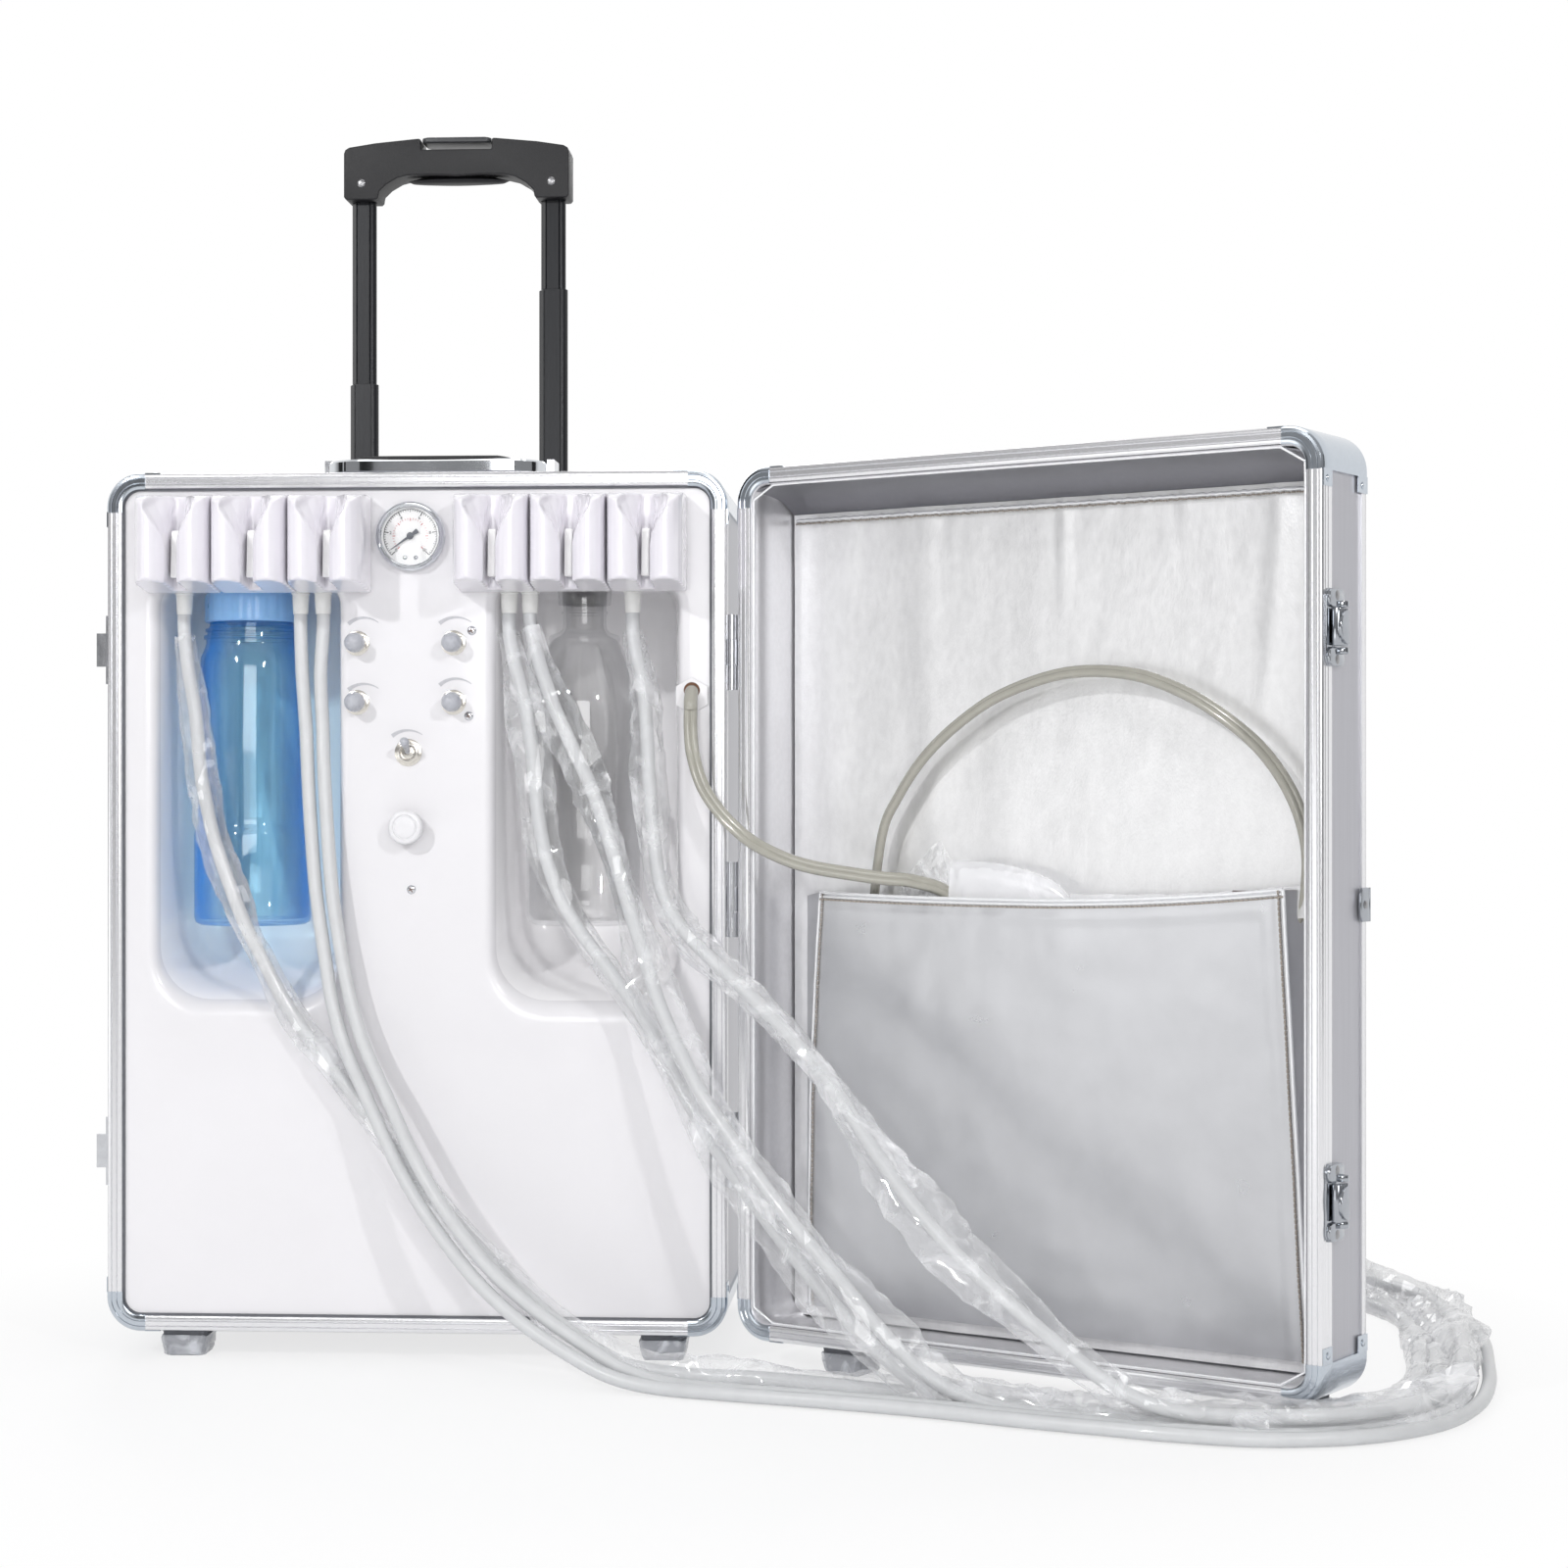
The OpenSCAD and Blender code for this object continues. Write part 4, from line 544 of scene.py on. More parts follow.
def sleeve(name, pts, r0, wide, seed):
    """Loose clear film drawn over a hose: a flat crumpled tube that turns slowly round it, with sharp creases."""
    rng = random.Random(seed)
    f = frames(pts)
    loops, s = [], 0.0
    for i, (q, (t, a, b)) in enumerate(zip(pts, f)):
        s += (q - pts[max(i - 1, 0)]).length
        left = sum((pts[k + 1] - pts[k]).length for k in range(i, len(pts) - 1))
        env = min(1.0, 0.25 + min(s, left) / 50)
        loose = 0.35 + 0.65 * min(1.0, max(0.0, 0.62 + 1.1 * noise.noise(Vector((s * 0.013, seed, 0.3)))))
        major, minor = r0 + 1.0 + wide * loose * env, r0 + 0.9 + 0.26 * wide * loose * env
        turn = 1.9 * noise.noise(Vector((s * 0.006, seed * 2.0, 7))) + s * 0.004 + seed
        rough = 0.07 + 0.34 * max(0.0, noise.noise(Vector((s * 0.022, seed * 3.0, 1))))
        l = []
        for j in range(16):
            w = 2 * math.pi * j / 16
            c, d = math.cos(w - turn), math.sin(w - turn)
            r = major * minor / math.hypot(minor * c, major * d)
            r *= 1 + 0.07 * math.sin(3 * w + s * 0.07) + rng.uniform(-rough, rough)
            r = max(r, r0 + 0.2)
            p = q + r * (math.cos(w) * a + math.sin(w) * b) + t * rng.uniform(-1, 1) * (0.4 + 5 * rough)
            p.z = max(p.z, 0.6)
            if abs(p.x) < 200 and (p.z < 234 or p.z > 512 or abs(abs(p.x) - TUB_X) > 58):
                p.y = min(p.y, 3.3)
            l.append(tuple(p))
        loops.append(l)
    v, g = rings(loops)
    tri = [h for k in g for h in ((k[0], k[1], k[2]), (k[0], k[2],
            k[3]))] if all(len(k) == 4 for k in g[:-2]) else g
    return make(name, v, tri, FILM, angle=21)


for k, (ln, z, first, way) in WAYS.items():
    pts = catmull(way + lane(ln, z, first), 6)
    o = make("handpiece_hose_%d" % k, *sweep(pts, 4.5, 18), HOSE, body=None, angle=60, instead=("hose_%d" % k,
            ))
    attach(o, "body")
    end = pts[-1]
    prof = [(4.6, 2), (4.6, -1), (5.2, -2), (5.2, -9), (4.6, -10), (4.4, -12), (4.0, -13), (4.0, -30), (3.6,
            -31.5), (3.0, -32), (2.6, -32), (2.6, -24)]
    tip = make("hose_end_%d" % k, *lathe(prof, end, "x", 28), STEEL, instead=("hose_connectors",
            ) if k == 1 else ())
    if k in (1, 4, 5, 6):
        fine = resample([tuple(p) for p in pts[7:-8]], 7.5)
        sleeve("hose_film_%d" % k, fine, 5.0, {1: 7.5, 4: 10.5, 5: 12.5, 6: 14.0}[k],
                k * 3.3)

air = catmull(AIR + [lid_at(*p) for p in AIR_LID], 6)


def twin(_, w):
    """Radius of a twin hose: two bores side by side with a groove between them."""
    return 1.85 * abs(math.cos(w)) + math.sqrt(2.65 ** 2 - (1.85 * math.sin(w)) ** 2)


air_hose = make("air_line", *sweep(air, twin, 28), OLIVE, body=None, angle=60, instead=("air_hose",))
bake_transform(air_hose)

# ---------------------------------------------------------------- vacuum-formed front panel
FACE_Y = 4.0


def recess_loop(cx, hw, z0, z1, rb, rt, y):
    """A rounded outline at depth y, with one radius for its two bottom corners and one for its two top ones."""
    n = 9
    out = []
    for k, (sx, sz, r) in enumerate(((1, 1, rt), (-1, 1, rt), (-1, -1, rb), (1, -1, rb))):
        for i in range(n + 1):
            t = math.pi / 2 * (k + i / n)
            x = cx + sx * (hw - r) + r * math.cos(t)
            z = (z1 if sz > 0 else z0) - sz * r + r * math.sin(t)
            out.append((x, y, z))
    return out


def recess(cx):
    loops = []
    for o, y, low in ((9, 4, 16), (6.5, 4.15, 12.5), (4.2, 4.8, 9), (2.3, 6.3, 5.8), (0.9, 8.8, 2.8), (0.2, 12,
            0)):
        loops.append(recess_loop(cx, 60 + o, 236 - low, 512 + o * 0.2, 34 + o, 16 + o * 0.5, y))
    for y in (25, 40, 57, 74):
        t = (y - 4) / 90
        loops.append(recess_loop(cx, 60 - 6 * t * 90 / 70, 236 + 26 * t, 512, 34 - 4 * t, 16, y))
    for a in (18, 36, 54, 72, 90):
        s, c = math.sin(math.radians(a)), 1 - math.cos(math.radians(a))
        loops.append(recess_loop(cx, 54 - 20 * c, 256 + 6 * s + 20 * c, 512 - 14 * c, 30 - 14 * c, 16,
                74 + 19.8 * s))
    return loops


bm = bmesh.new()
outer = [bm.verts.new((x, FACE_Y, z)) for x, z in rrect(389.2, 544.2, 11.7, 9)]
edges = [bm.edges.new((outer[i], outer[(i + 1) % len(outer)])) for i in range(len(outer))]
tubs = []
for cx in (-TUB_X, TUB_X):
    lv = [[bm.verts.new(p) for p in l] for l in recess(cx)]
    n = len(lv[0])
    edges += [bm.edges.new((lv[0][j], lv[0][(j + 1) % n])) for j in range(n)]
    tubs.append(lv)
bmesh.ops.triangle_fill(bm, use_beauty=True, use_dissolve=False, edges=edges)
for lv in tubs:
    n = len(lv[0])
    for i in range(len(lv) - 1):
        for j in range(n):
            bm.faces.new((lv[i][j], lv[i][(j + 1) % n], lv[i + 1][(j + 1) % n], lv[i + 1][j]))
    bm.faces.new(lv[-1])
bmesh.ops.recalc_face_normals(bm, faces=bm.faces)
bm.faces.ensure_lookup_table()
if max(bm.faces, key=lambda q: q.calc_area() if abs(q.normal.y) > 0.99 else 0).normal.y > 0:
    bmesh.ops.reverse_faces(bm, faces=bm.faces)
pd = bpy.data.meshes.new("panel_face")
bm.to_mesh(pd)
bm.free()
pd.transform(BODY)
tmp = bpy.data.objects.new("panel_tmp", pd)
bpy.context.collection.objects.link(tmp)
md = tmp.modifiers.new("thick", "SOLIDIFY")
md.thickness, md.offset = 0.0025, -1
pd = evaluated(tmp, "panel_face")
for p in pd.polygons:
    p.use_smooth = True
pd.set_sharp_from_angle(angle=math.radians(35))
pd.materials.append(FACE)
pd.materials.append(WELL_PAINTED_LIGHT)
back = BODY.inverted()
# Faces deep in the recesses get the whiter copy of the formed sheet: painted light.
for p in pd.polygons:
    p.material_index = 1 if (back @ p.center).y > 16 else 0
make("formed_panel", [], [], FACE, data=pd, instead=("front_panel",))

# ---------------------------------------------------------------- edge profiles, corner caps and rivets
RIM = [(0, 14), (0, 9.2), (0.5, 8.6), (0, 8), (0, 5.2), (0.5, 4.6), (0, 4), (0, 2), (0.6, 0.9), (1.6, 0.45),
       (2.6, 0.45), (3.1, 1.0), (3.6, 0.45), (6.0, 0.45), (6.5, 1.0), (7.0, 0.45), (8.8, 0.45), (9.6, 0.9),
       (10, 1.8), (10, 12), (9.2, 12), (9.2, 3), (1.2, 3), (1.2, 14)]


def frame_sweep(profile, sign):
    """A profile of (inset, depth) taken round the case's outline; sign is +1 for the body and -1 for the lid."""
    loops = [[(x, sign * d, z) for x, z in rrect(CASE_W - 2 * i, CASE_H - 2 * i, CASE_R - i)] for i,
            d in profile]
    return rings(loops + [loops[0]], cap=False)


def back_angle(d):
    return [(0, d - 8), (0, d - 2), (0.6, d - 0.6), (2, d), (13.4, d), (14, d - 0.5), (14, d - 1.2), (1.2,
            d - 1.2), (1.2, d - 8)]


def corner_cap(sx, sz, d, sign):
    """One pressed corner: over the rim, across the side and over the back, round the arc with a straight leg each
    way. Two riveted ears reach further along each side, one by the rim and one by the back."""
    prof = [(10.3, 3.0), (10.3, 0.5), (9.6, 0.15), (6.8, 0.1), (6.4, 0.4), (6.0, 0.1), (3.4, 0.1), (3.0, 0.4),
            (2.6, 0.1), (1.0, 0.3), (0.1, 1.2), (-0.5, 2.6), (-0.5, 13), (-0.5, d - 13), (-0.5, d - 1.8),
            (0.2, d - 0.6), (1.4, d + 0.2), (13.8, d + 0.2), (14.2, d - 0.4), (14.2, d - 0.8), (0.6, d - 1.0)]
    half_w, half_h, r = CASE_W / 2, CASE_H / 2, CASE_R
    loops = []
    path = [("leg", t) for t in (1.0, 0.5)] + [("arc", i / 12) for i in range(13)] + [("leg2",
            t) for t in (0.5, 1.0)]
    cx, cz = sx * (half_w - r), CASE_MID + sz * (half_h - r)
    for kind, t in path:
        l = []
        for ins, dep in prof:
            rr = r - ins
            if kind == "arc":
                a = t * math.pi / 2
                x, z = cx + sx * rr * math.cos(a), cz + sz * rr * math.sin(a)
            elif kind == "leg":
                x, z = sx * (half_w - ins), cz - sz * t * 3.5
            else:
                x, z = cx - sx * t * 3.5, CASE_MID + sz * (half_h - ins)
            l.append((x, sign * dep, z))
        loops.append(l)
    parts = [rings(loops)]
    for side in (0, 1):
        for d0, d1 in ((1.6, 13.4), (d - 14.4, d - 0.8)):
            if side == 0:
                lo = (sx * 204.9, sign * d0, cz - sz * 13)
                hi = (sx * 205.55, sign * d1, cz - sz * 3)
            else:
                lo = (cx - sx * 13, sign * d0, CASE_MID + sz * 282.4)
                hi = (cx - sx * 3, sign * d1, CASE_MID + sz * 283.05)
            parts.append(block([min(a, b) for a, b in zip(lo, hi)], [max(a, b) for a, b in zip(lo, hi)]))
            mid = sign * (d0 + d1) / 2
            if side == 0:
                parts.append(dome((sx * 205.5, mid, cz - sz * 8.5), (sx, 0, 0), 2.3, 0.9))
            else:
                parts.append(dome((cx - sx * 8.5, mid, CASE_MID + sz * 283.0), (0, 0, sz), 2.3, 0.9))
    return merged(parts)


for nm, d, sign, where in (("body", BODY_DEPTH, 1, BODY), ("lid", LID_DEPTH, -1, LID)):
    make(nm + "_rim", *frame_sweep(RIM, sign), EDGE, where, angle=32, instead=(nm + "_edges",))
    make(nm + "_back_angle", *frame_sweep(back_angle(d), sign), EDGE, where, angle=32)
    parts = [corner_cap(sx, sz, d, sign) for sx in (-1, 1) for sz in (-1, 1)]
    make(nm + "_corner_caps", *merged(parts), CAP, where, angle=30, instead=(nm + "_corners",))
make("panel_seal", *frame_sweep([(9.9, 2.4), (11.3, 2.4), (11.3, 4.6), (9.9, 4.6)], 1), RUBBER, angle=60)

# ---------------------------------------------------------------- handpiece holders and levers
HOLDER_LOW = 509.0
HOLDER_XS = [-154, -104, -54, 54, 104, 154]


def holder_mesh():
    w = 24.7
    half = [(w, 4), (w, -22), (w - 0.5, -28), (w - 2.2, -34.5), (w - 5, -39), (w - 8, -41.4), (w - 11, -42),
            (w - 14, -41), (w - 16.8, -38.6), (w - 19, -35.5), (4, -33)]
    plan = half + [(-x, y) for x, y in half[::-1]]
    base = make("holder_base", *prism(plan, HOLDER_LOW - 6, HOLDER_LOW + 59, "z"), HOLDER, Matrix.Identity(4),
            None)
    side = [(4, -5), (4, 58), (-14, 58), (-26, 56.6), (-34, 54.4), (-40, 51), (-42.6, 47), (-43, 6), (-42,
            2.4), (-39.5, 0.2), (-30, -0.9)]
    keep = make("holder_keep", *prism([(y, HOLDER_LOW + z) for y, z in side], -30, 30, "x"), HOLDER,
            Matrix.Identity(4), None)
    cuts = []
    for y, half_, floor_, slot in ((-6.5, 7, 50, 3.6), (-14, 10.5, 42, 3.8), (-24, 14.5, 35, 4), (-34, 17.5,
            31, 4), (-50, 20.5, 28, 4)):
        right = [(slot, -20), (slot, floor_ - 8), (slot + 1.2, floor_ - 1), (half_ * 0.52, floor_ + 8),
                 (half_ * 0.84, floor_ + 17), (half_, 66)]
        o_ = right + [(-x, z) for x, z in right[::-1]]
        cuts.append([(x, y, HOLDER_LOW + z) for x, z in o_])
    cut = make("holder_cut", *rings(cuts), HOLDER, Matrix.Identity(4), None)
    for tool, how in ((keep, "INTERSECT"), (cut, "DIFFERENCE")):
        md = base.modifiers.new(how, "BOOLEAN")
        md.operation, md.solver, md.object = how, "EXACT", tool
    md = base.modifiers.new("mesh", "REMESH")
    md.mode, md.voxel_size = "VOXEL", 0.9
    md = base.modifiers.new("soft", "SMOOTH")
    md.factor, md.iterations = 0.5, 9
    data = evaluated(base, "holder")
    for tool in (keep, cut):
        bpy.data.objects.remove(tool)
    data.transform(BODY)
    for p in data.polygons:
        p.use_smooth = True
    data.materials.clear()
    data.materials.append(HOLDER)
    return data


holder = holder_mesh()
for i, x in enumerate(HOLDER_XS):
    o = make("holder_%d" % (i + 1), [], [], HOLDER, data=holder, body=None,
             instead=("handpiece_holders",) if i == 0 else ())
    o.location = (x / 1000, 0, 0)
    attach(o, "body")
    v, f = prism([(-22.8, 512.5), (-13.2, 512.5), (-13.6, 526), (-15.6, 542), (-17, 543.6), (-19, 543.6),
                  (-20.6, 541.5), (-21.5, 528)], x - 2.6, x + 2.6, "x")
    make("lever_%d" % (i + 1), v, f, LEVER, body="lever_%d" % (i + 1), bevel=0.9, seg=3,
         instead=("holder_lever_%d" % (i + 1),))
    make("slot_pad_%d" % (i + 1), *block((x - 3.4, -6.5, HOLDER_LOW + 1), (x + 3.4, -5.6, HOLDER_LOW + 38)),
         FELT, bevel=0.3)

# ---------------------------------------------------------------- pressure gauge
GX, GZ = -3.0, 541.0
DIAL_START, DIAL_TURN = 225, 270
bez = [(20.0, -24), (20.0, -4), (22.6, -4), (22.9, -1.5), (22.6, 1.2), (21.6, 3.2), (20.6, 4.0), (19.9, 3.7),
       (19.3, 2.6), (19.0, 1.2), (19.0, -2.0), (17.5, -2.2), (17.5, -24)]
make("gauge_bezel", *lathe(bez, (GX, 0, GZ), "y", 96), CHROME, angle=50, instead=("gauge_case",))
make("gauge_dial", *lathe([(19.2, -0.9), (19.2, -0.35), (0.9, -0.35), (0.9, -0.9)], (GX, 0, GZ), "y", 72),
     DIAL)
make("gauge_lens", *lathe([(0.05, 1.9), (9, 1.95), (18.9, 1.7), (18.9, 2.5), (9, 3.0), (0.05, 3.2)], (GX, 0,
        GZ), "y", 72), GLASS, angle=60)
black, red = [], []


def tick(angle, r0, r1, w):
    a = math.radians(angle)
    c, s = math.cos(a), math.sin(a)
    q = [(r0, -w), (r1, -w), (r1, w), (r0, w)]
    return prism([(GX + r * c - t * s, GZ + r * s + t * c) for r, t in q], -0.02, 0.36, "y")


for i in range(51):
    a = DIAL_START - i * DIAL_TURN / 50
    major = i % 10 == 0
    black.append(tick(a, 14.6 if major else (15.6 if i % 5 == 0 else 16.3), 17.4, 0.28 if major else 0.13))
for i in range(31):
    a = DIAL_START - i * DIAL_TURN / 30
    red.append(tick(a, 10.0 if i % 5 == 0 else 10.8, 11.8, 0.2 if i % 5 == 0 else 0.1))
for i in range(60):
    a0, a1 = DIAL_START - i * DIAL_TURN / 60, DIAL_START - (i + 1) * DIAL_TURN / 60
    q = [(17.4, a0), (17.7, a0), (17.7, a1), (17.4, a1)]
    black.append(prism([(GX + r * math.cos(math.radians(a)), GZ + r * math.sin(math.radians(a))) for r,
            a in q], -0.02, 0.36, "y"))
make("gauge_marks", *merged(black), INK)
make("gauge_red_marks", *merged(red), RED)
for i, word in enumerate("0 2 4 6 8 10".split()):
    c = bpy.data.curves.new("figure", "FONT")
    c.body, c.size, c.extrude, c.align_x, c.align_y = word, 2.9, 0.08, "CENTER", "CENTER"
    t = bpy.data.objects.new("figure_%d" % i, c)
    bpy.context.collection.objects.link(t)
    d = evaluated(t, "figure_%d" % i)
    a = math.radians(DIAL_START - i * DIAL_TURN / 5)
    d.transform(BODY @ Matrix.Translation((GX + 13.2 * math.cos(a), -0.02, GZ + 13.2 * math.sin(a)))
                @ Matrix.Rotation(math.pi / 2, 4, "X"))
    d.materials.append(INK)
    make("figure_%d" % i, [], [], INK, data=d)
for s in (-1, 1):
    v, f = merged([dome((GX + s * 3.6, 0.3, GZ - 14.2), (0, -1, 0), 1.5, 0.7, 20),
                   block((GX + s * 3.6 - 1.0, -0.5, GZ - 14.4), (GX + s * 3.6 + 1.0, -0.3, GZ - 14.0))])
    make("dial_screw_%d" % (s + 1), v, f, CHROME, bevel=0)
ang = math.radians(215)
needle = [(-6.2, -1.3), (-5.4, -1.6), (-3.4, -1.2), (-1.5, -0.8), (3, -0.75), (15.5, -0.18), (16, 0), (15.5,
        0.18), (3, 0.75), (-1.5, 0.8), (-3.4, 1.2), (-5.4, 1.6), (-6.2, 1.3)]
nd = [(GX + x * math.cos(ang) - y * math.sin(ang), GZ + x * math.sin(ang) + y * math.cos(ang)) for x,
      y in needle]
hub = lathe([(0.9, -10), (0.9, 0.6), (2.3, 0.7), (2.3, 1.35), (1.7, 1.6), (0.05, 1.7)], (GX, 0, GZ), "y", 32)
make("gauge_pointer", *merged([prism(nd, -1.2, -0.8, "y"), hub]), NEEDLE, body="needle", bevel=0.08, seg=1,
     instead=("gauge_needle",))

# ---------------------------------------------------------------- knobs, bushes, toggle, white disc and prints
KNOBS = {"knob_water": (-39, 471), "knob_mist": (-39, 432), "knob_air_high": (25, 471), "knob_air_low": (25,
        432)}
for nm, (x, z) in KNOBS.items():
    prof = [(2, -26), (2, 1.0), (5.6, 1.0), (6.3, 1.6), (6.5, 2.6), (6.5, 6.0)]
    prof += [(6.5 * math.cos(math.radians(a)), 6 + 6.4 * math.sin(math.radians(a))) for a in range(10, 91, 10)]
    make(nm + "_cap", *lathe(prof, (x, 0, z), "y", 48), KNOB, body=nm, angle=60, instead=(nm,))


def nut(x, z, r, y0, y1, turn=0.0):
    pts = [(x + r * math.cos(math.radians(60 * i + turn)), z + r * math.sin(math.radians(60 * i + turn)))
           for i in range(6)]
    return prism(pts, y1, y0, "y")


parts, washers = [], []
for (x, z), r in [(p, 7.2) for p in KNOBS.values()] + [((-5, 399), 8.0), ((-5, 350), 7.2)]:
    parts.append(nut(x, z, r, 3.2, 0.9, 10 + x % 30))
    washers.append(lathe([(r + 1.0, -4.1), (r + 1.0, -3.4), (r + 0.6, -3.2), (3, -3.2)], (x, 0, z), "y", 40))
    washers.append(lathe([(r - 2.2, -3), (r - 2.2, 0.1), (r - 2.6, 0.5), (r - 3.3, 0.5), (r - 3.5, 0.1),
                          (r - 3.5, -3)], (x, 0, z), "y", 40))
make("valve_nuts", *merged(parts), NICKEL, bevel=0.4, seg=2, instead=("control_valves",))
make("valve_bushes", *merged(washers), NICKEL, angle=40)
tilt = math.radians(-25)
prof = [(3.1 * math.cos(math.radians(a)), 3.1 * math.sin(math.radians(a))) for a in range(-90, 60, 15)]
prof += [(1.9, 3.4), (1.9, 6), (2.6, 12), (3.0, 15.5), (2.8, 17.2), (1.8, 18.2), (0.05, 18.5)]
v, f = lathe(prof, (0, 0, 0), "y", 32)
M = Matrix.Translation((-5, 4, 399)) @ Matrix.Rotation(tilt, 4, "X")
make("toggle_bat", [tuple(M @ Vector(p)) for p in v], f, KNOB, body="toggle", angle=60,
     instead=("toggle_lever",))
prof = [(3, -26), (3, 1.0), (10.4, 1.0), (11, 1.6), (11.1, 7.6), (10.6, 8.8), (9.6, 9.3), (8.2, 9.35), (7.9,
        8.7), (7.4, 8.6), (7.1, 9.2), (6.0, 9.5), (0.05, 9.6)]
make("disc_knob", *lathe(prof, (-5, 0, 350), "y", 72, wave=lambda t,
        h: 0.012 * math.cos(24 * t) if 1.5 < h < 8 else 0), DISC, body="scaler_knob", angle=50,
     instead=("scaler_knob",))


def crescent(x, z, half, rise, w):
    """A tapered printed arc, thick at one end."""
    r = (half * half + rise * rise) / (2 * rise)
    span = math.asin(half / r)
    up, dn = [], []
    for i in range(19):
        t = i / 18
        a = math.pi / 2 + span * (1 - 2 * t)
        th = w * (1 - 0.82 * t)
        c, s = math.cos(a), math.sin(a)
        up.append((x + r * c, z - r + r * s))
        dn.append((x + (r - th) * c, z - r + (r - th) * s))
    return prism(up + dn[::-1], 3.78, 4.02, "y")


marks = [crescent(-35.2, 488.5, 10.5, 3.8, 2.7), crescent(-35.2, 445, 10.5, 3.6, 2.7),
         crescent(25.8, 488.6, 11, 3.8, 2.7), crescent(25.8, 448.3, 11, 4, 2.7),
         crescent(-6.1, 414.4, 10.5, 3.5, 2.7)]
make("printed_arcs", *merged(marks), MARK)
make("indicator_dot", *lathe([(1.3, -4.2), (1.3, -3.9), (0.9, -3.7), (0.05, -3.65)], (-35.4, 0, 547.9), "y",
        20), mat("indicator", (0.30, 0.10, 0.05), 0.3, 0, 0.1, 300, 0.05, 900, coat=0.6))
parts, slots = [], []
for x, z in ((37, 479), (35, 423), (-3, 309)):
    parts.append(dome((x, 4.0, z), (0, -1, 0), 3.0, 1.3, 28))
    for a in (0.4, 0.4 + math.pi / 2):
        c, s = math.cos(a), math.sin(a)
        q = [(-1.9, -0.28), (1.9, -0.28), (1.9, 0.28), (-1.9, 0.28)]
        slots.append(prism([(x + u * c - w * s, z + u * s + w * c) for u, w in q], 2.62, 2.9, "y"))
make("face_screws", *merged(parts), STEEL, instead=("panel_screws",))
make("screw_slots", *merged(slots), FELT)

# ---------------------------------------------------------------- bottles and caps
BW, BD = (-119, 48, 0), (106, 48, 0)
outer = [(0.05, 286), (18, 284.6), (29, 284), (35, 284.3), (38, 286), (39, 289.5), (39, 343), (38.6, 347),
        (37.2, 350), (36.4, 353), (36.6, 356), (36.2, 400), (35.6, 452), (34.5, 464), (31.8, 470), (31, 473),
        (31, 475.5), (32.6, 476), (32.6, 478.2), (30.4, 478.6), (30.4, 480.4), (31.6, 480.8), (31.6, 482.6),
        (29.6, 483.2), (28.6, 485), (28.6, 507.5)]
inner = [(26.8, 507.5), (26.8, 484), (28.8, 474), (29.8, 469), (32.6, 462), (33.8, 451), (34.3, 400), (34.6,
        356), (35.4, 349), (36.8, 343), (37, 291), (35, 288.4), (18, 287.8), (0.05, 289)]


def flute(t, h):
    return 0.016 * max(0.0, math.cos(8 * t)) if 300 < h < 344 or 358 < h < 446 else 0.0


make("blue_bottle", *lathe(outer + inner, BW, "z", 96, wave=flute), CLEAR_BLUE, body="water_bottle", angle=50,
     instead=("water_bottle",))
cap = [(31.2, 487.2), (31.9, 488), (31.9, 503), (31.3, 505.5), (29, 508.6), (24, 509.8), (0.05, 510.4)]
cap += [(0.05, 508.6), (28.9, 507.9), (28.9, 487.2)]
v, f = lathe(cap, BW, "z", 144,
             wave=lambda t, h: -0.022 if (math.degrees(t) % 15) < 3.2 and 488.5 < h < 503.5 else 0)
make("blue_bottle_cap", v, f, BLUE_CAP, angle=40, instead=("bottle_caps",))
outer = [(0.05, 287), (14, 285.4), (26, 284.4), (33, 284.6), (37, 286.6), (38.6, 290.5), (38.8, 300), (38.0,
        304), (38.8, 308), (38.8, 360), (38.0, 364), (38.8, 368), (38.9, 424), (38, 434), (35, 446), (31.5,
        456), (28.5, 464), (25, 470), (23.5, 473), (23.8, 475.2), (23.8, 477), (22.6, 478.2), (17, 480), (14.8,
        482.6), (14.5, 486), (14.5, 492), (15.3, 492.6), (15.3, 494), (14.5, 494.6), (14.5, 507.8)]
inner = [(12.6, 507.8), (12.6, 483), (15, 478.6), (21.5, 475), (24, 469), (28, 459), (33, 446), (36, 434),
         (37, 424), (37, 292), (34, 288), (14, 287.6), (0.05, 289.4)]
make("clear_bottle", *lathe(outer + inner, BD, "z", 96), CLEAR, body="waste_bottle", angle=50,
     instead=("waste_bottle",))
v, f = lathe([(17.2, 498.4), (17.6, 499), (17.6, 508), (17, 509.6), (14, 510.6), (0.05, 511), (0.05, 508.6),
              (14.8, 508.2), (14.8, 498.4)], BD, "z", 96,
             wave=lambda t, h: 0.02 * (1 if math.cos(36 * t) > 0 else 0) if 499 < h < 508.5 else 0)
make("clear_bottle_cap", v, f, CLEAR, angle=40)

# ---------------------------------------------------------------- glands and air outlet
parts = []
for x in [way[0][0] for _, _, _, way in WAYS.values()]:
    prof = [(4.7, 491), (5.0, 491), (5.3, 497), (5.5, 503.6), (6.2, 504.2), (6.2, 512), (3, 512)]
    parts.append(lathe(prof, (x, 15, 0), "z", 36))
make("hose_gland_cones", *merged(parts), WHITE, angle=40, instead=("hose_glands",))
bend = catmull([(182, 3.6, 438.5), (182, 0, 438), (182, -4, 434.5), (182, -6, 430), (182, -6, 427)], 6)
make("air_elbow", *sweep(bend, 4.5, 18), OLIVE, angle=60)
make("air_outlet_plate", *nut(182, 436, 12.2, 3.5, 2.2, 30), FACE, bevel=0.6, seg=3)
make("air_mouth", *lathe([(0.05, -2.1), (5.3, -2.1), (5.3, -2.35), (0.05, -2.35)], (182, 0, 439.5), "y", 40),
     FELT)

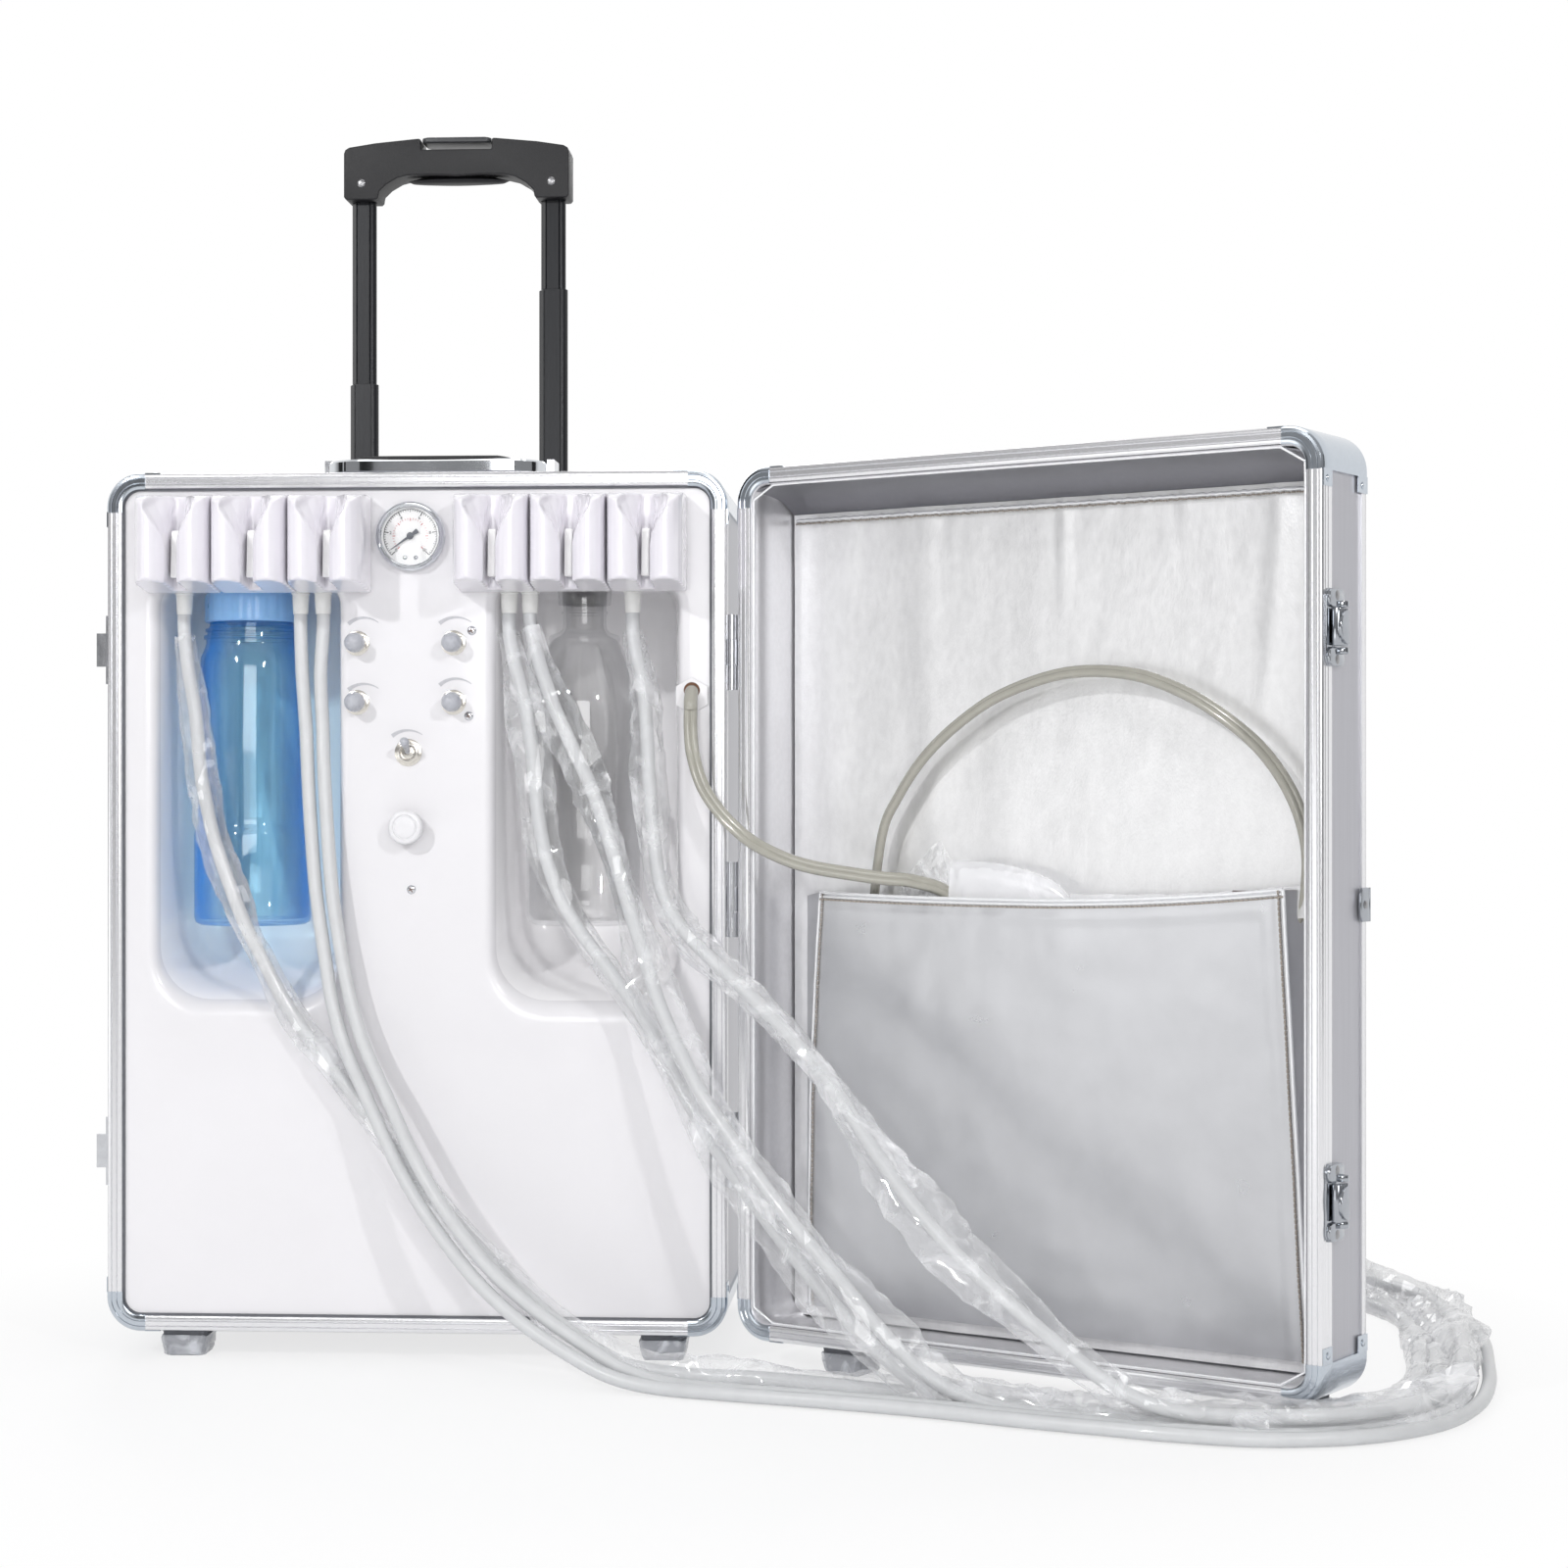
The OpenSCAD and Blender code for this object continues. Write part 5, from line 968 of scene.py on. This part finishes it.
# ---------------------------------------------------------------- lid: cloth linings, seams, pocket and films
SIDE_PROF = [(10.3, 1.8), (11.1, 2.4), (11.1, 11.5), (8.6, 13.6), (7.8, 30), (7.6, 55.6), (6.5, 55.6), (6.5,
        13.2), (10.3, 11.6)]
# The side walls take the darker copy of the silver cloth: painted shade.
o = make("side_lining", *frame_sweep(SIDE_PROF, -1), SIDE_PAINTED_SHADE, LID, angle=60, instead=("lid_lining",))


def bump(x, mid, half):
    return math.exp(-((x - mid) / half) ** 2)


def lining_depth(x, z):
    """Depth of the cloth on the lid's floor: soft upright folds, gathers below the top seam, one long crease."""
    d = 54.6 - 0.5 * abs(wrinkle((x, z * 0.30, 0), 0.014, 3.1, 3)) - 0.22 * wrinkle((x, z * 0.5, 5), 0.05, 1.0,
            3)
    d -= 0.5 * (0.5 + wrinkle((x, 0, 2), 0.07, 6.0, 2)) * math.exp(-max(0, 556 - z) / 26)
    d -= 1.3 * bump(x, -150 + 5 * math.sin(z / 50), 8) * min(1, max(0, (z - 400) / 60))
    d -= 1.0 * bump(x, -8, 2.4) * min(1, max(0, (z - 470) / 70)) + 0.7 * bump(x, 70 + z * 0.05, 14)
    return d


def sheet_grid(x0, x1, z0, z1, nx, nz, place, t):
    """A thin sheet over a grid; place gives a point for x and z, and the sheet's back lies t deeper."""
    front = [place(x0 + (x1 - x0) * i / nx,
            z0 + (z1 - z0) * j / nz) for j in range(nz + 1) for i in range(nx + 1)]
    return thick(front, [(x, y - t, z) for x, y, z in front], nx + 1, nz + 1)


def thick(front, back, nu, nv):
    o = len(front)
    faces = []
    for j in range(nv - 1):
        for i in range(nu - 1):
            a = j * nu + i
            q = (a, a + 1, a + nu + 1, a + nu)
            faces += [q, tuple(k + o for k in q[::-1])]
    edge = list(range(nu)) + [(j + 1) * nu - 1 for j in range(1, nv)] \
        + [(nv - 1) * nu + i for i in range(nu - 2, -1, -1)] + [j * nu for j in range(nv - 2, 0, -1)]
    for a, b in zip(edge, edge[1:] + edge[:1]):
        faces.append((a, b, b + o, a + o))
    return list(front) + list(back), faces


SEAM_Z = 557.0
o = make("cloth_lining", *sheet_grid(-196, 196, 27, SEAM_Z, 120, 150, lambda x, z: (x, -lining_depth(x, z), z),
        1.2), SILVER, LID, angle=80)


def roof_point(x, t):
    """The cloth under the lid's top wall, slack, from the rim's lip (t 0) down to the seam (t 1)."""
    k = abs(x) / 196
    slack = math.sin(math.pi * t) * (0.5 + 0.5 * wrinkle((x, t * 30, 1), 0.02, 2.0, 2))
    return (x, -(3.4 + (53.0 - 3.4) * t), 572.2 - 15.2 * t ** 3 - slack - 6 * k ** 14 * (1 - t))


roof = [roof_point(-196 + 392 * i / 90, j / 22) for j in range(23) for i in range(91)]
# The roof cloth takes the darker copy of the silver cloth: painted shade.
o = make("roof_lining", *thick(roof, [(x, y, z + 1.0) for x, y, z in roof], 91, 23), ROOF_PAINTED_SHADE, LID, angle=80)
seam = [(x, -lining_depth(x, 553) + 1.1, SEAM_Z - 4.2 + 0.3 * math.sin(x * 0.9)) for x in range(-194, 195, 3)]
make("seam_ridge", *sweep([Vector(p) for p in seam], lambda i, w: 1.25 + 0.22 * math.sin(i * 1.9), 10), PIPING,
     LID, angle=60)
make("lining_stitches", *dashes([(x, y + 0.6, z - 2.0) for x, y, z in seam], 1.9, 3.3, 0.6), THREAD, LID,
     angle=60)
octagon = []
for sx, sz in ((1, 1), (-1, 1), (-1, -1), (1, -1), (1, 1)):
    q = [(sx * 193.4, CASE_MID + sz * 249), (sx * 193.2, CASE_MID + sz * 262), (sx * 178, CASE_MID + sz * 271),
         (sx * 165, CASE_MID + sz * 271.2)]
    octagon += q if sx * sz > 0 else q[::-1]
octagon = octagon[:16] + octagon[:1]
make("lining_binding", *sweep([Vector((x, -3.0, z)) for x, z in octagon], 0.8, 8), PIPING, LID, angle=60)

PZ0 = 34.6


def mouth(k):
    """Height of the pocket's mouth; k runs from the lid's free side, 0, to its hinge side, 1."""
    return 305.3 + 9.5 * (max(0.0, 0.55 - k) / 0.55) ** 2 + 2.2 * (max(0.0, k - 0.62) / 0.38) ** 2


def pocket_edges(t):
    """X of the front sheet's two stitched sides at height t, from 0 at the bottom to 1 at the mouth."""
    return -175.0 + 7.5 * t, 178.5 - 21.0 * t ** 1.7


def front_point(k, t):
    a, b = pocket_edges(t)
    x = a + (b - a) * k
    z = PZ0 + (mouth(k) - PZ0) * t
    d = 28.3 + 20 * (1 - t) - 2.2 * math.sin(math.pi * k) * math.sin(math.pi * min(1, (1 - t) * 1.1 + 0.06))
    d += 0.9 * wrinkle((x, z, 2), 0.010, 4.4, 3) + 0.12 * wrinkle((x, z * 0.5, 9), 0.06, 2.0, 2)
    d -= 0.9 * math.tanh((x + 52) / 22) * (0.35 + 0.65 * t)
    hem = max(bump(x - a, 0, 13.5), bump(z - mouth(k), 0, 13.5)) > 0.368
    d -= 0.35 if hem else 0
    d += 0.5 * bump(x - a, 5, 1.3) + 0.4 * bump(z - mouth(k), -5, 1.3)
    return Vector((x, -min(d, 54.0), z))


def pocket_point(u, t):
    """u runs down the free-side gusset, along the front and up the hinge-side gusset; t from bottom to mouth."""
    if 0.12 <= u <= 0.88:
        return front_point((u - 0.12) / 0.76, t)
    k, s = (u / 0.12, -1) if u < 0.5 else ((1 - u) / 0.12, 1)
    edge = front_point(0.0 if s < 0 else 1.0, t)
    back = Vector((s * 186.0, -54.6, edge.z - 3 * (1 - k)))
    slack = 4 * k * (1 - k)
    p = back.lerp(edge, k)
    fold = math.sin(t * 46 + 3.0 * k + 2.2 * noise.noise(Vector((t * 5, s, 0)))) * 0.7 \
        + 1.4 * noise.noise(Vector((t * 11, k * 2.5, s * 3.0)))
    return p + Vector((-s * slack * (1.4 + 0.9 * fold), slack * 0.8 * fold, 0))


nt = 90
us = [0.12 * i / 16 for i in range(16)] + [0.12 + 0.76 * i / 150 for i in range(150)] \
    + [0.88 + 0.12 * i / 16 for i in range(17)]
grid = [[Vector(pocket_point(u, j / nt)) for u in us] for j in range(nt + 1)]
nu = len(us)
front = [p for r in grid for p in r]
norm = []
for j in range(nt + 1):
    for i in range(nu):
        a = grid[j][min(i + 1, nu - 1)] - grid[j][max(i - 1, 0)]
        b = grid[min(j + 1, nt)][i] - grid[max(j - 1, 0)][i]
        norm.append(a.cross(b).normalized())
flip = 1 if norm[nt // 2 * nu + nu // 2].y < 0 else -1
o = make("pocket_cloth", *thick([tuple(p) for p in front], [tuple(p + q * 1.0 * flip) for p, q in zip(front,
        norm)], nu, nt + 1), POUCH, LID, angle=80, instead=("lid_pocket",))
make("pocket_base", *block((-184, -54.8, PZ0 + 0.2), (184, -49.6, PZ0 + 1.8)), POUCH, LID, bevel=0.5)
hem = [front_point(i / 80, 1.0) + Vector((0, 0.3, 0.3)) for i in range(81)]
side_hem = [front_point(0.0, i / 60) + Vector((0, 0.2, 0)) for i in range(61)]
left_hem = [front_point(1.0, i / 60) + Vector((0, 0.2, 0)) for i in range(61)]
make("pocket_binding", *merged([sweep(hem, 1.0, 10), sweep([p + Vector((0, -0.4, -2.6)) for p in hem], 0.9,
        8)]), PIPING, LID, angle=60)
make("pocket_side_binding", *merged([sweep(side_hem, 1.25, 10), sweep(left_hem, 0.9, 8)]), PIPING, LID,
     angle=60)
rows = [dashes([p + Vector((0, 0.45, -4.4)) for p in hem], 1.9, 3.2, 0.6),
        dashes([p + Vector((3.0, 0.65, 0)) for p in side_hem], 1.9, 3.2, 0.65),
        dashes([p + Vector((-2.4, 0.6, 0)) for p in left_hem], 1.9, 3.2, 0.5)]
make("pocket_stitches", *merged(rows), THREAD, LID, angle=60)


def flap_point(a, b):
    """Clear flap with a peak: a from the hinge side to the seam, b from the pocket up."""
    x = 104 - 40 * a
    top = 317 + 26 * max(0.0, 1 - abs(a - 0.72) / 0.72) ** 1.2 if a < 0.72 else 343 - 15 * (a - 0.72) / 0.28
    z = 292 + (top - 292) * b
    return (x + 1.5 * wrinkle((a * 40, b * 30, 1), 0.1, 2.0, 2),
            -(39.0 - 3.0 * math.sin(math.pi * a) * (1 - b) + 1.6 * wrinkle((a * 60, b * 50, 4), 0.09, 5.0, 3)),
            z)


def roll_point(a, b):
    """Folded film that fans out along the mouth: a along it, b round its roll from the front to the back."""
    x = 64 - 86 * a
    top = 301 + 28.5 * math.sqrt(max(0.0, 1 - a ** 2.3))
    t = b * math.pi
    ridge = 0.45 * math.sin(b * 26 + 2 * a) + 0.5 * wrinkle((a * 80, b * 30, 2), 0.06, 1.0, 3)
    return (x, -(39.0 - (6.0 + ridge) * math.cos(t) * (1 - 0.4 * a)), 294 + (top - 294) * math.sin(t) ** 0.6)


for nm, place, cloth, na, nb, cut in (("clear_flap", flap_point, FILM, 26, 24, (0.042, 0.042)),
                                      ("film_roll", roll_point, MILKY, 60, 30, (0.095, 0.062))):
    pts = [place(i / na, j / nb) for j in range(nb + 1) for i in range(na + 1)]
    o = make(nm, *thick(pts, [(x, y - 0.25, z) for x, y, z in pts], na + 1, nb + 1), cloth, LID, angle=30)


def strip_top(x):
    k = (x + 168) / 325
    return mouth(max(0, k)) + 3.2 + 1.3 * math.sin((x + 60) * 0.02) + 0.3 * math.sin(x * 0.23)


pts = [(x, -(37.6 + 0.5 * math.sin(x * 0.07)), 298 + (strip_top(x) - 298) * j / 4)
       for j in range(5) for x in range(-181, -20, 2)]
o = make("zip_strip", *thick(pts, [(x, y - 0.7, z) for x, y, z in pts], 81, 5), MILKY, LID, angle=30)
LABEL = mat("strip_tag", (0.20, 0.16, 0.16), 0.4, 0, 0.08, 300, 0.05, 900)
tags = [block((x0, -38.0, strip_top(x0) - h), (x1, -37.0, strip_top(x0) - 0.3))
        for x0, x1, h in ((-144, -131, 3.4), (-149, -147.2, 2.6))]
make("strip_tags", *merged(tags), LABEL, LID, bevel=0.2)
make("strip_end", *block((-182.4, -38.6, strip_top(-180) - 4), (-180.4, -36.8, strip_top(-180) + 0.4)), RED,
     LID, bevel=0.3)

# ---------------------------------------------------------------- latches and the clip on the lid's back edge
PIVOT_X, PIVOT_Y = -208.6, -20.0
LATCH_Z = {"high": 467.0, "low": 136.0}
plates, sinks = [], []
for z in LATCH_Z.values():
    plates.append(prism([(y, w) for y, w in rrect(22, 45, 5.5, 6, -14, z)], -206.4, -205.0, "x"))
    for s in (-1, 1):
        plates.append(prism([(y, w) for y, w in rrect(21, 10.6, 4.6, 6, -14, z + s * 16.9)], -208.4, -206.2,
                "x"))
        plates.append(lathe([(4.0, -1.9), (4.0, 1.9), (1.3, 1.9), (1.3, -1.9)], (PIVOT_X, PIVOT_Y,
                z + s * 13.4), "z", 28))
        sinks.append(dome((-208.3, -14, z + s * 18.5), (-1, 0, 0), 2.9, 0.35, 24))
        sinks.append(dome((-208.5, -14, z + s * 18.5), (-1, 0, 0), 1.6, 0.3, 16))
make("latch_plates", *merged(plates), LATCH, LID, bevel=0.5, seg=2, angle=35, instead=("lid_latches",))
make("latch_screws", *merged(sinks), SCREW, LID)
for nm, z in LATCH_Z.items():
    ribs = [(1.0, -1.0), (-1.4, -1.4), (-3.0, -0.8)]
    for i in range(37):
        y = -0.6 + 12.2 * i / 36
        ribs.append((-3.4 - 0.75 * abs(math.sin(math.pi * 4 * i / 36)), y))
    ribs += [(-2.4, 12.0), (0.6, 12.0), (1.0, 11.4)]
    v, f = prism([(PIVOT_X + x, PIVOT_Y + y) for x, y in ribs], z - 10.8, z + 10.8, "z")
    disc = []
    for i in range(49):
        a = math.radians(-98 + 196 * i / 48)
        disc.append((PIVOT_Y + 4 + 9.9 * math.cos(a), z + 9.9 * math.sin(a)))
    g = prism(disc, PIVOT_X - 5.9, PIVOT_X - 3.6, "x")
    make("latch_%s_lever" % nm, *merged([(v, f), g]), LATCH, LID, "latch_" + nm, bevel=0.35, seg=2, angle=35,
         instead=("latch_lever_" + nm,))
v, f = merged([prism([(-55, 296), (-52.5, 299), (-51.6, 306), (-52.5, 313), (-55, 316), (-66.2, 316), (-66.2,
        296)], -206.6, -205.0, "x"), block((-206.6, -66.2, 296), (-194, -65.1, 316))])
make("lid_clip", v, f, LATCH, LID, bevel=0.4)
make("lid_clip_screw", *dome((-206.6, -58.5, 306), (-1, 0, 0), 2.4, 0.8, 20), SCREW, LID)

# ---------------------------------------------------------------- trolley handle
TX, TY = -13.0, 248.3
TUBE_X = 70.5


def tube_mesh(name, width, deep, z0, z1, material, body, instead):
    """Drawn tube with two shallow grooves down its front and back and a rounded top edge."""
    h, d = width / 2, deep / 2
    g = h - 4.4
    front = [(-h + d * 0.8, -d), (-g - 0.5, -d), (-g, -d + 0.55), (-g + 0.5, -d), (g - 0.5, -d), (g,
            -d + 0.55), (g + 0.5, -d), (h - d * 0.8, -d)]
    arc = [(h - d * 0.8 + d * 0.8 * math.sin(math.radians(a)),
            -d + d * 0.8 - d * 0.8 * math.cos(math.radians(a))) for a in (20, 45, 70, 90)]
    outline = front + arc
    outline = outline + [(-x, -y) for x, y in outline]
    parts = []
    for s in (-1, 1) if name == "grip_tubes" else ((-1,) if "left" in name else (1,)):
        loops = [[(TX + s * TUBE_X + u * k, TY + w * k, z) for u, w in outline]
                  for z, k in ((z0, 1.0), (z1 - 0.7, 1.0), (z1 - 0.2, 0.985), (z1, 0.955))]
        hole = [[(TX + s * TUBE_X + u * k, TY + w * k, z) for u, w in outline]
                 for z, k in ((z1, 0.89), (z0, 0.89))]
        parts.append(rings(loops + hole + [loops[0]], cap=False))
    make(name, *merged(parts), material, body=body, angle=30, instead=instead)


tube_mesh("middle_tube_left", 21.6, 13.0, 176.2, 676, GREY_TUBE, "mid_left", ("mid_tube_left",))
tube_mesh("middle_tube_right", 21.6, 13.0, 245.2, 745, GREY_TUBE, "mid_right", ("mid_tube_right",))
tube_mesh("grip_tubes", 18.6, 10.0, 311.2, 829, BLACK_TUBE, "grip", ("inner_tubes",))

GT, GL = 857.0, 811.0
top = [(-83.5, GT - 12), (-82.5, GT - 9.2), (-79.5, GT - 7.4), (-60, GT - 4.4), (-30, GT - 1.6), (-27.2,
        GT - 1.4), (-26.6, GT - 2.2), (-26.5, GT - 5), (-26.2, GT - 9.6)]
top = top + [(0, GT - 9.6)] + [(-x, z) for x, z in top[::-1]]
low = [(83.5, GL + 2), (82, GL), (59.5, GL), (58, GL + 1.5), (57.2, GL + 6), (52, GL + 11), (44, GL + 15.6),
       (36, GL + 17.6), (20, GL + 18), (0, GL + 17)]
low = low + [(-x, z) for x, z in low[-2::-1]]
out2 = [(TX + x, z) for x, z in top + low]
make("grip_shell", *prism(out2, TY - 13, TY + 13, "y"), GRIP, body="grip", bevel=3.6, seg=5, angle=50,
     limit=50, instead=("grip",))
loops = []
for z, k in ((GL + 17.5, 0.7), (GL + 15.2, 0.95), (GL + 13.6, 0.86), (GL + 12.8, 0.5)):
    loops.append([(TX + 40 * k * math.cos(t), TY + 8.6 * k * math.sin(t), z)
                  for t in [2 * math.pi * i / 40 for i in range(40)]])
make("grip_bulge", *rings(loops), GRIP, body="grip", angle=60)
loops = []
for z, kx, ky in ((GT - 4.6, 0.88, 0.84), (GT - 4.4, 0.95, 0.92), (GT - 3.8, 0.985, 0.97), (GT - 1.6, 1,
        0.985), (GT - 0.7, 0.99, 0.955), (GT - 0.2, 0.96, 0.86)):
    loops.append([(TX + x * kx, TY + y * ky, z + (0.5 - 0.9 * (abs(x) / 26) ** 2 if z > GT - 2 else 0))
                  for x, y in rrect(51.6, 25.6, 4.5, 8, 0, 0)])
make("grip_push_button", *rings(loops), mat("button_plastic", (0.05, 0.052, 0.056), 0.35, 0, 0.1, 300, 0.15,
        1400), body="grip_button", angle=40, instead=("grip_button",))
parts = []
for s in (-1, 1):
    for y, ny in ((TY - 13, -1), (TY + 13, 1)):
        parts.append(dome((TX + s * TUBE_X, y, GL + 12), (0, ny, 0), 3.0, 0.9, 24))
make("grip_screws", *merged(parts), SCREW, body="grip")
outer_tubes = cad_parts["trolley_outer"].data
outer_tubes.materials.clear()
outer_tubes.materials.append(BLACK_TUBE)

# ---------------------------------------------------------------- carry handle
CX, CY, CZ = -2.5, 118.0, 596.0
route = [(-74, 4), (-74, -16), (-71, -26), (-63, -33), (-52, -36), (0, -36), (52, -36), (63, -33), (71, -26),
         (74, -16), (74, 4)]
pts = catmull([(CX + x * 0.94, CY + y, CZ) for x, y in route], 8)
fr_ = frames(pts)
loops = []
for i, (p, (t, a, b)) in enumerate(zip(pts, fr_)):
    side = Vector((0, 0, 1)).cross(t).normalized()
    up = Vector((0, 0, 1))
    k = 0.78 + 0.22 * min(1, min(i, len(pts) - 1 - i) / 10)
    loops.append([tuple(p + side * u * k + up * w) for u, w in [(-6, -3.5), (-5, -4.6), (5, -4.6), (6, -3.5),
            (6, 3.2), (4.6, 4.6), (-4.6, 4.6), (-6, 3.2)]])
make("carry_bail", *rings(loops), CHROME, body="carry_handle", bevel=0, angle=40, instead=("carry_handle",))
loops = []
for i in range(31):
    x = -56 + 112 * i / 30
    e = min(1, min(i, 30 - i) / 3) ** 0.5
    y = CY - 36 + 2.0 * (abs(x) / 56) ** 6
    loops.append([(CX + x, y + u * e, CZ + 4.2 + w * e) for u, w in
                  [(-5.2, 0), (-5.2, 1.0), (-3.6, 2.7), (3.6, 2.7), (5.2, 1.0), (5.2, 0)]])
make("carry_grip", *rings(loops), GRIP, body="carry_handle", angle=50)

# ---------------------------------------------------------------- feet, wheels and finishes of carried-over nodes


def foot(x, y):
    loops = []
    for z, s in ((18, 1.0), (16.8, 1.0), (16.2, 0.955), (2.0, 0.84), (0.6, 0.81), (0.0, 0.76)):
        loops.append([(x + u * s, y + w * s, z) for u, w in rrect(30, 30, 3.4, 4, 0, 0)])
    return rings(loops)


def wrap(x, y, seed):
    """Crumpled film round a foot."""
    rng = random.Random(seed)
    loops = []
    for z, q in ((13.6, 0.985), (12.4, 1.02), (10.6, 1.0), (8.8, 0.985), (7.0, 0.955), (5.2, 0.935), (3.4,
            0.91), (1.8, 0.885), (0.5, 0.84)):
        loops.append([(x + u * (q + rng.uniform(-0.022, 0.04)), y + w * (q + rng.uniform(-0.022, 0.04)),
                       max(0.2, z + rng.uniform(-0.6, 0.6))) for u, w in rrect(30.8, 30.8, 5, 5, 0, 0)])
    return rings(loops)


BODY_FEET = ((-156, 23), (162, 23))
LID_FEET = ((130, -23), (-170, -46))
make("body_foot_blocks", *merged([foot(*at) for at in BODY_FEET]), RUBBER, instead=("body_feet",))
make("lid_foot_blocks", *merged([foot(*at) for at in LID_FEET]), RUBBER, LID, instead=("lid_feet",))
make("body_foot_film", *merged([wrap(*at, seed) for at, seed in zip(BODY_FEET, (3, 5))]), WRAP, angle=20)
make("lid_foot_film", *merged([wrap(*at, seed) for at, seed in zip(LID_FEET, (8, 9))]), WRAP, LID, angle=20)
WHEEL_X, WHEEL_Y, WHEEL_R = 158, 227, 25
AXLE = (0, WHEEL_Y, WHEEL_R)
for nm, s in (("wheel_left", -1), ("wheel_right", 1)):
    mid = s * WHEEL_X
    half = [(5, -9.2), (14, -9.2), (15.5, -8.6), (17.4, -8.6), (18.2, -10.6), (22.5, -10.8), (24.3, -9.6), (25,
            -7.6), (25, -4.4), (24.5, -4.1), (24.5, -3.3), (25, -3.0)]
    make(nm + "_tyre", *lathe([(r, mid + h) for r, h in half + [(r, -h) for r, h in half[::-1]]], AXLE, "x",
            72), TYRE, body=nm, angle=35, instead=(nm,))
    rim = [(3.1, -10.6), (6, -10.6), (7, -9), (7, 9), (6, 10.6), (3.1, 10.6)]
    hub = [lathe([(r, mid + h) for r, h in rim], AXLE, "x", 36)]
    for i in range(6):
        a = math.radians(60 * i)
        c, q = math.cos(a), math.sin(a)
        pts = [(6, -1.4), (15.5, -1.0), (15.5, 1.0), (6, 1.4)]
        hub.append(prism([(WHEEL_Y + r * c - w * q, WHEEL_R + r * q + w * c) for r, w in pts], mid - 9.9,
                mid + 9.9, "x"))
    make(nm + "_hub", *merged(hub), HOUSING, body=nm, angle=35)

FINISH = {"body_panels": LAMINATE, "lid_panels": LAMINATE, "wheel_brackets": HOUSING, "case_fittings": STEEL,
        "lid_hinges": STEEL, "compressor": PAINT, "air_tank": TANK, "manifold": BRASS, "power_board": BOARD,
        "air_coupling": STEEL, }
for nd, m in FINISH.items():
    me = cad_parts[nd].data
    me.materials.clear()
    me.materials.append(m)
    for p in me.polygons:
        p.use_smooth = True
    me.set_sharp_from_angle(angle=math.radians(30))
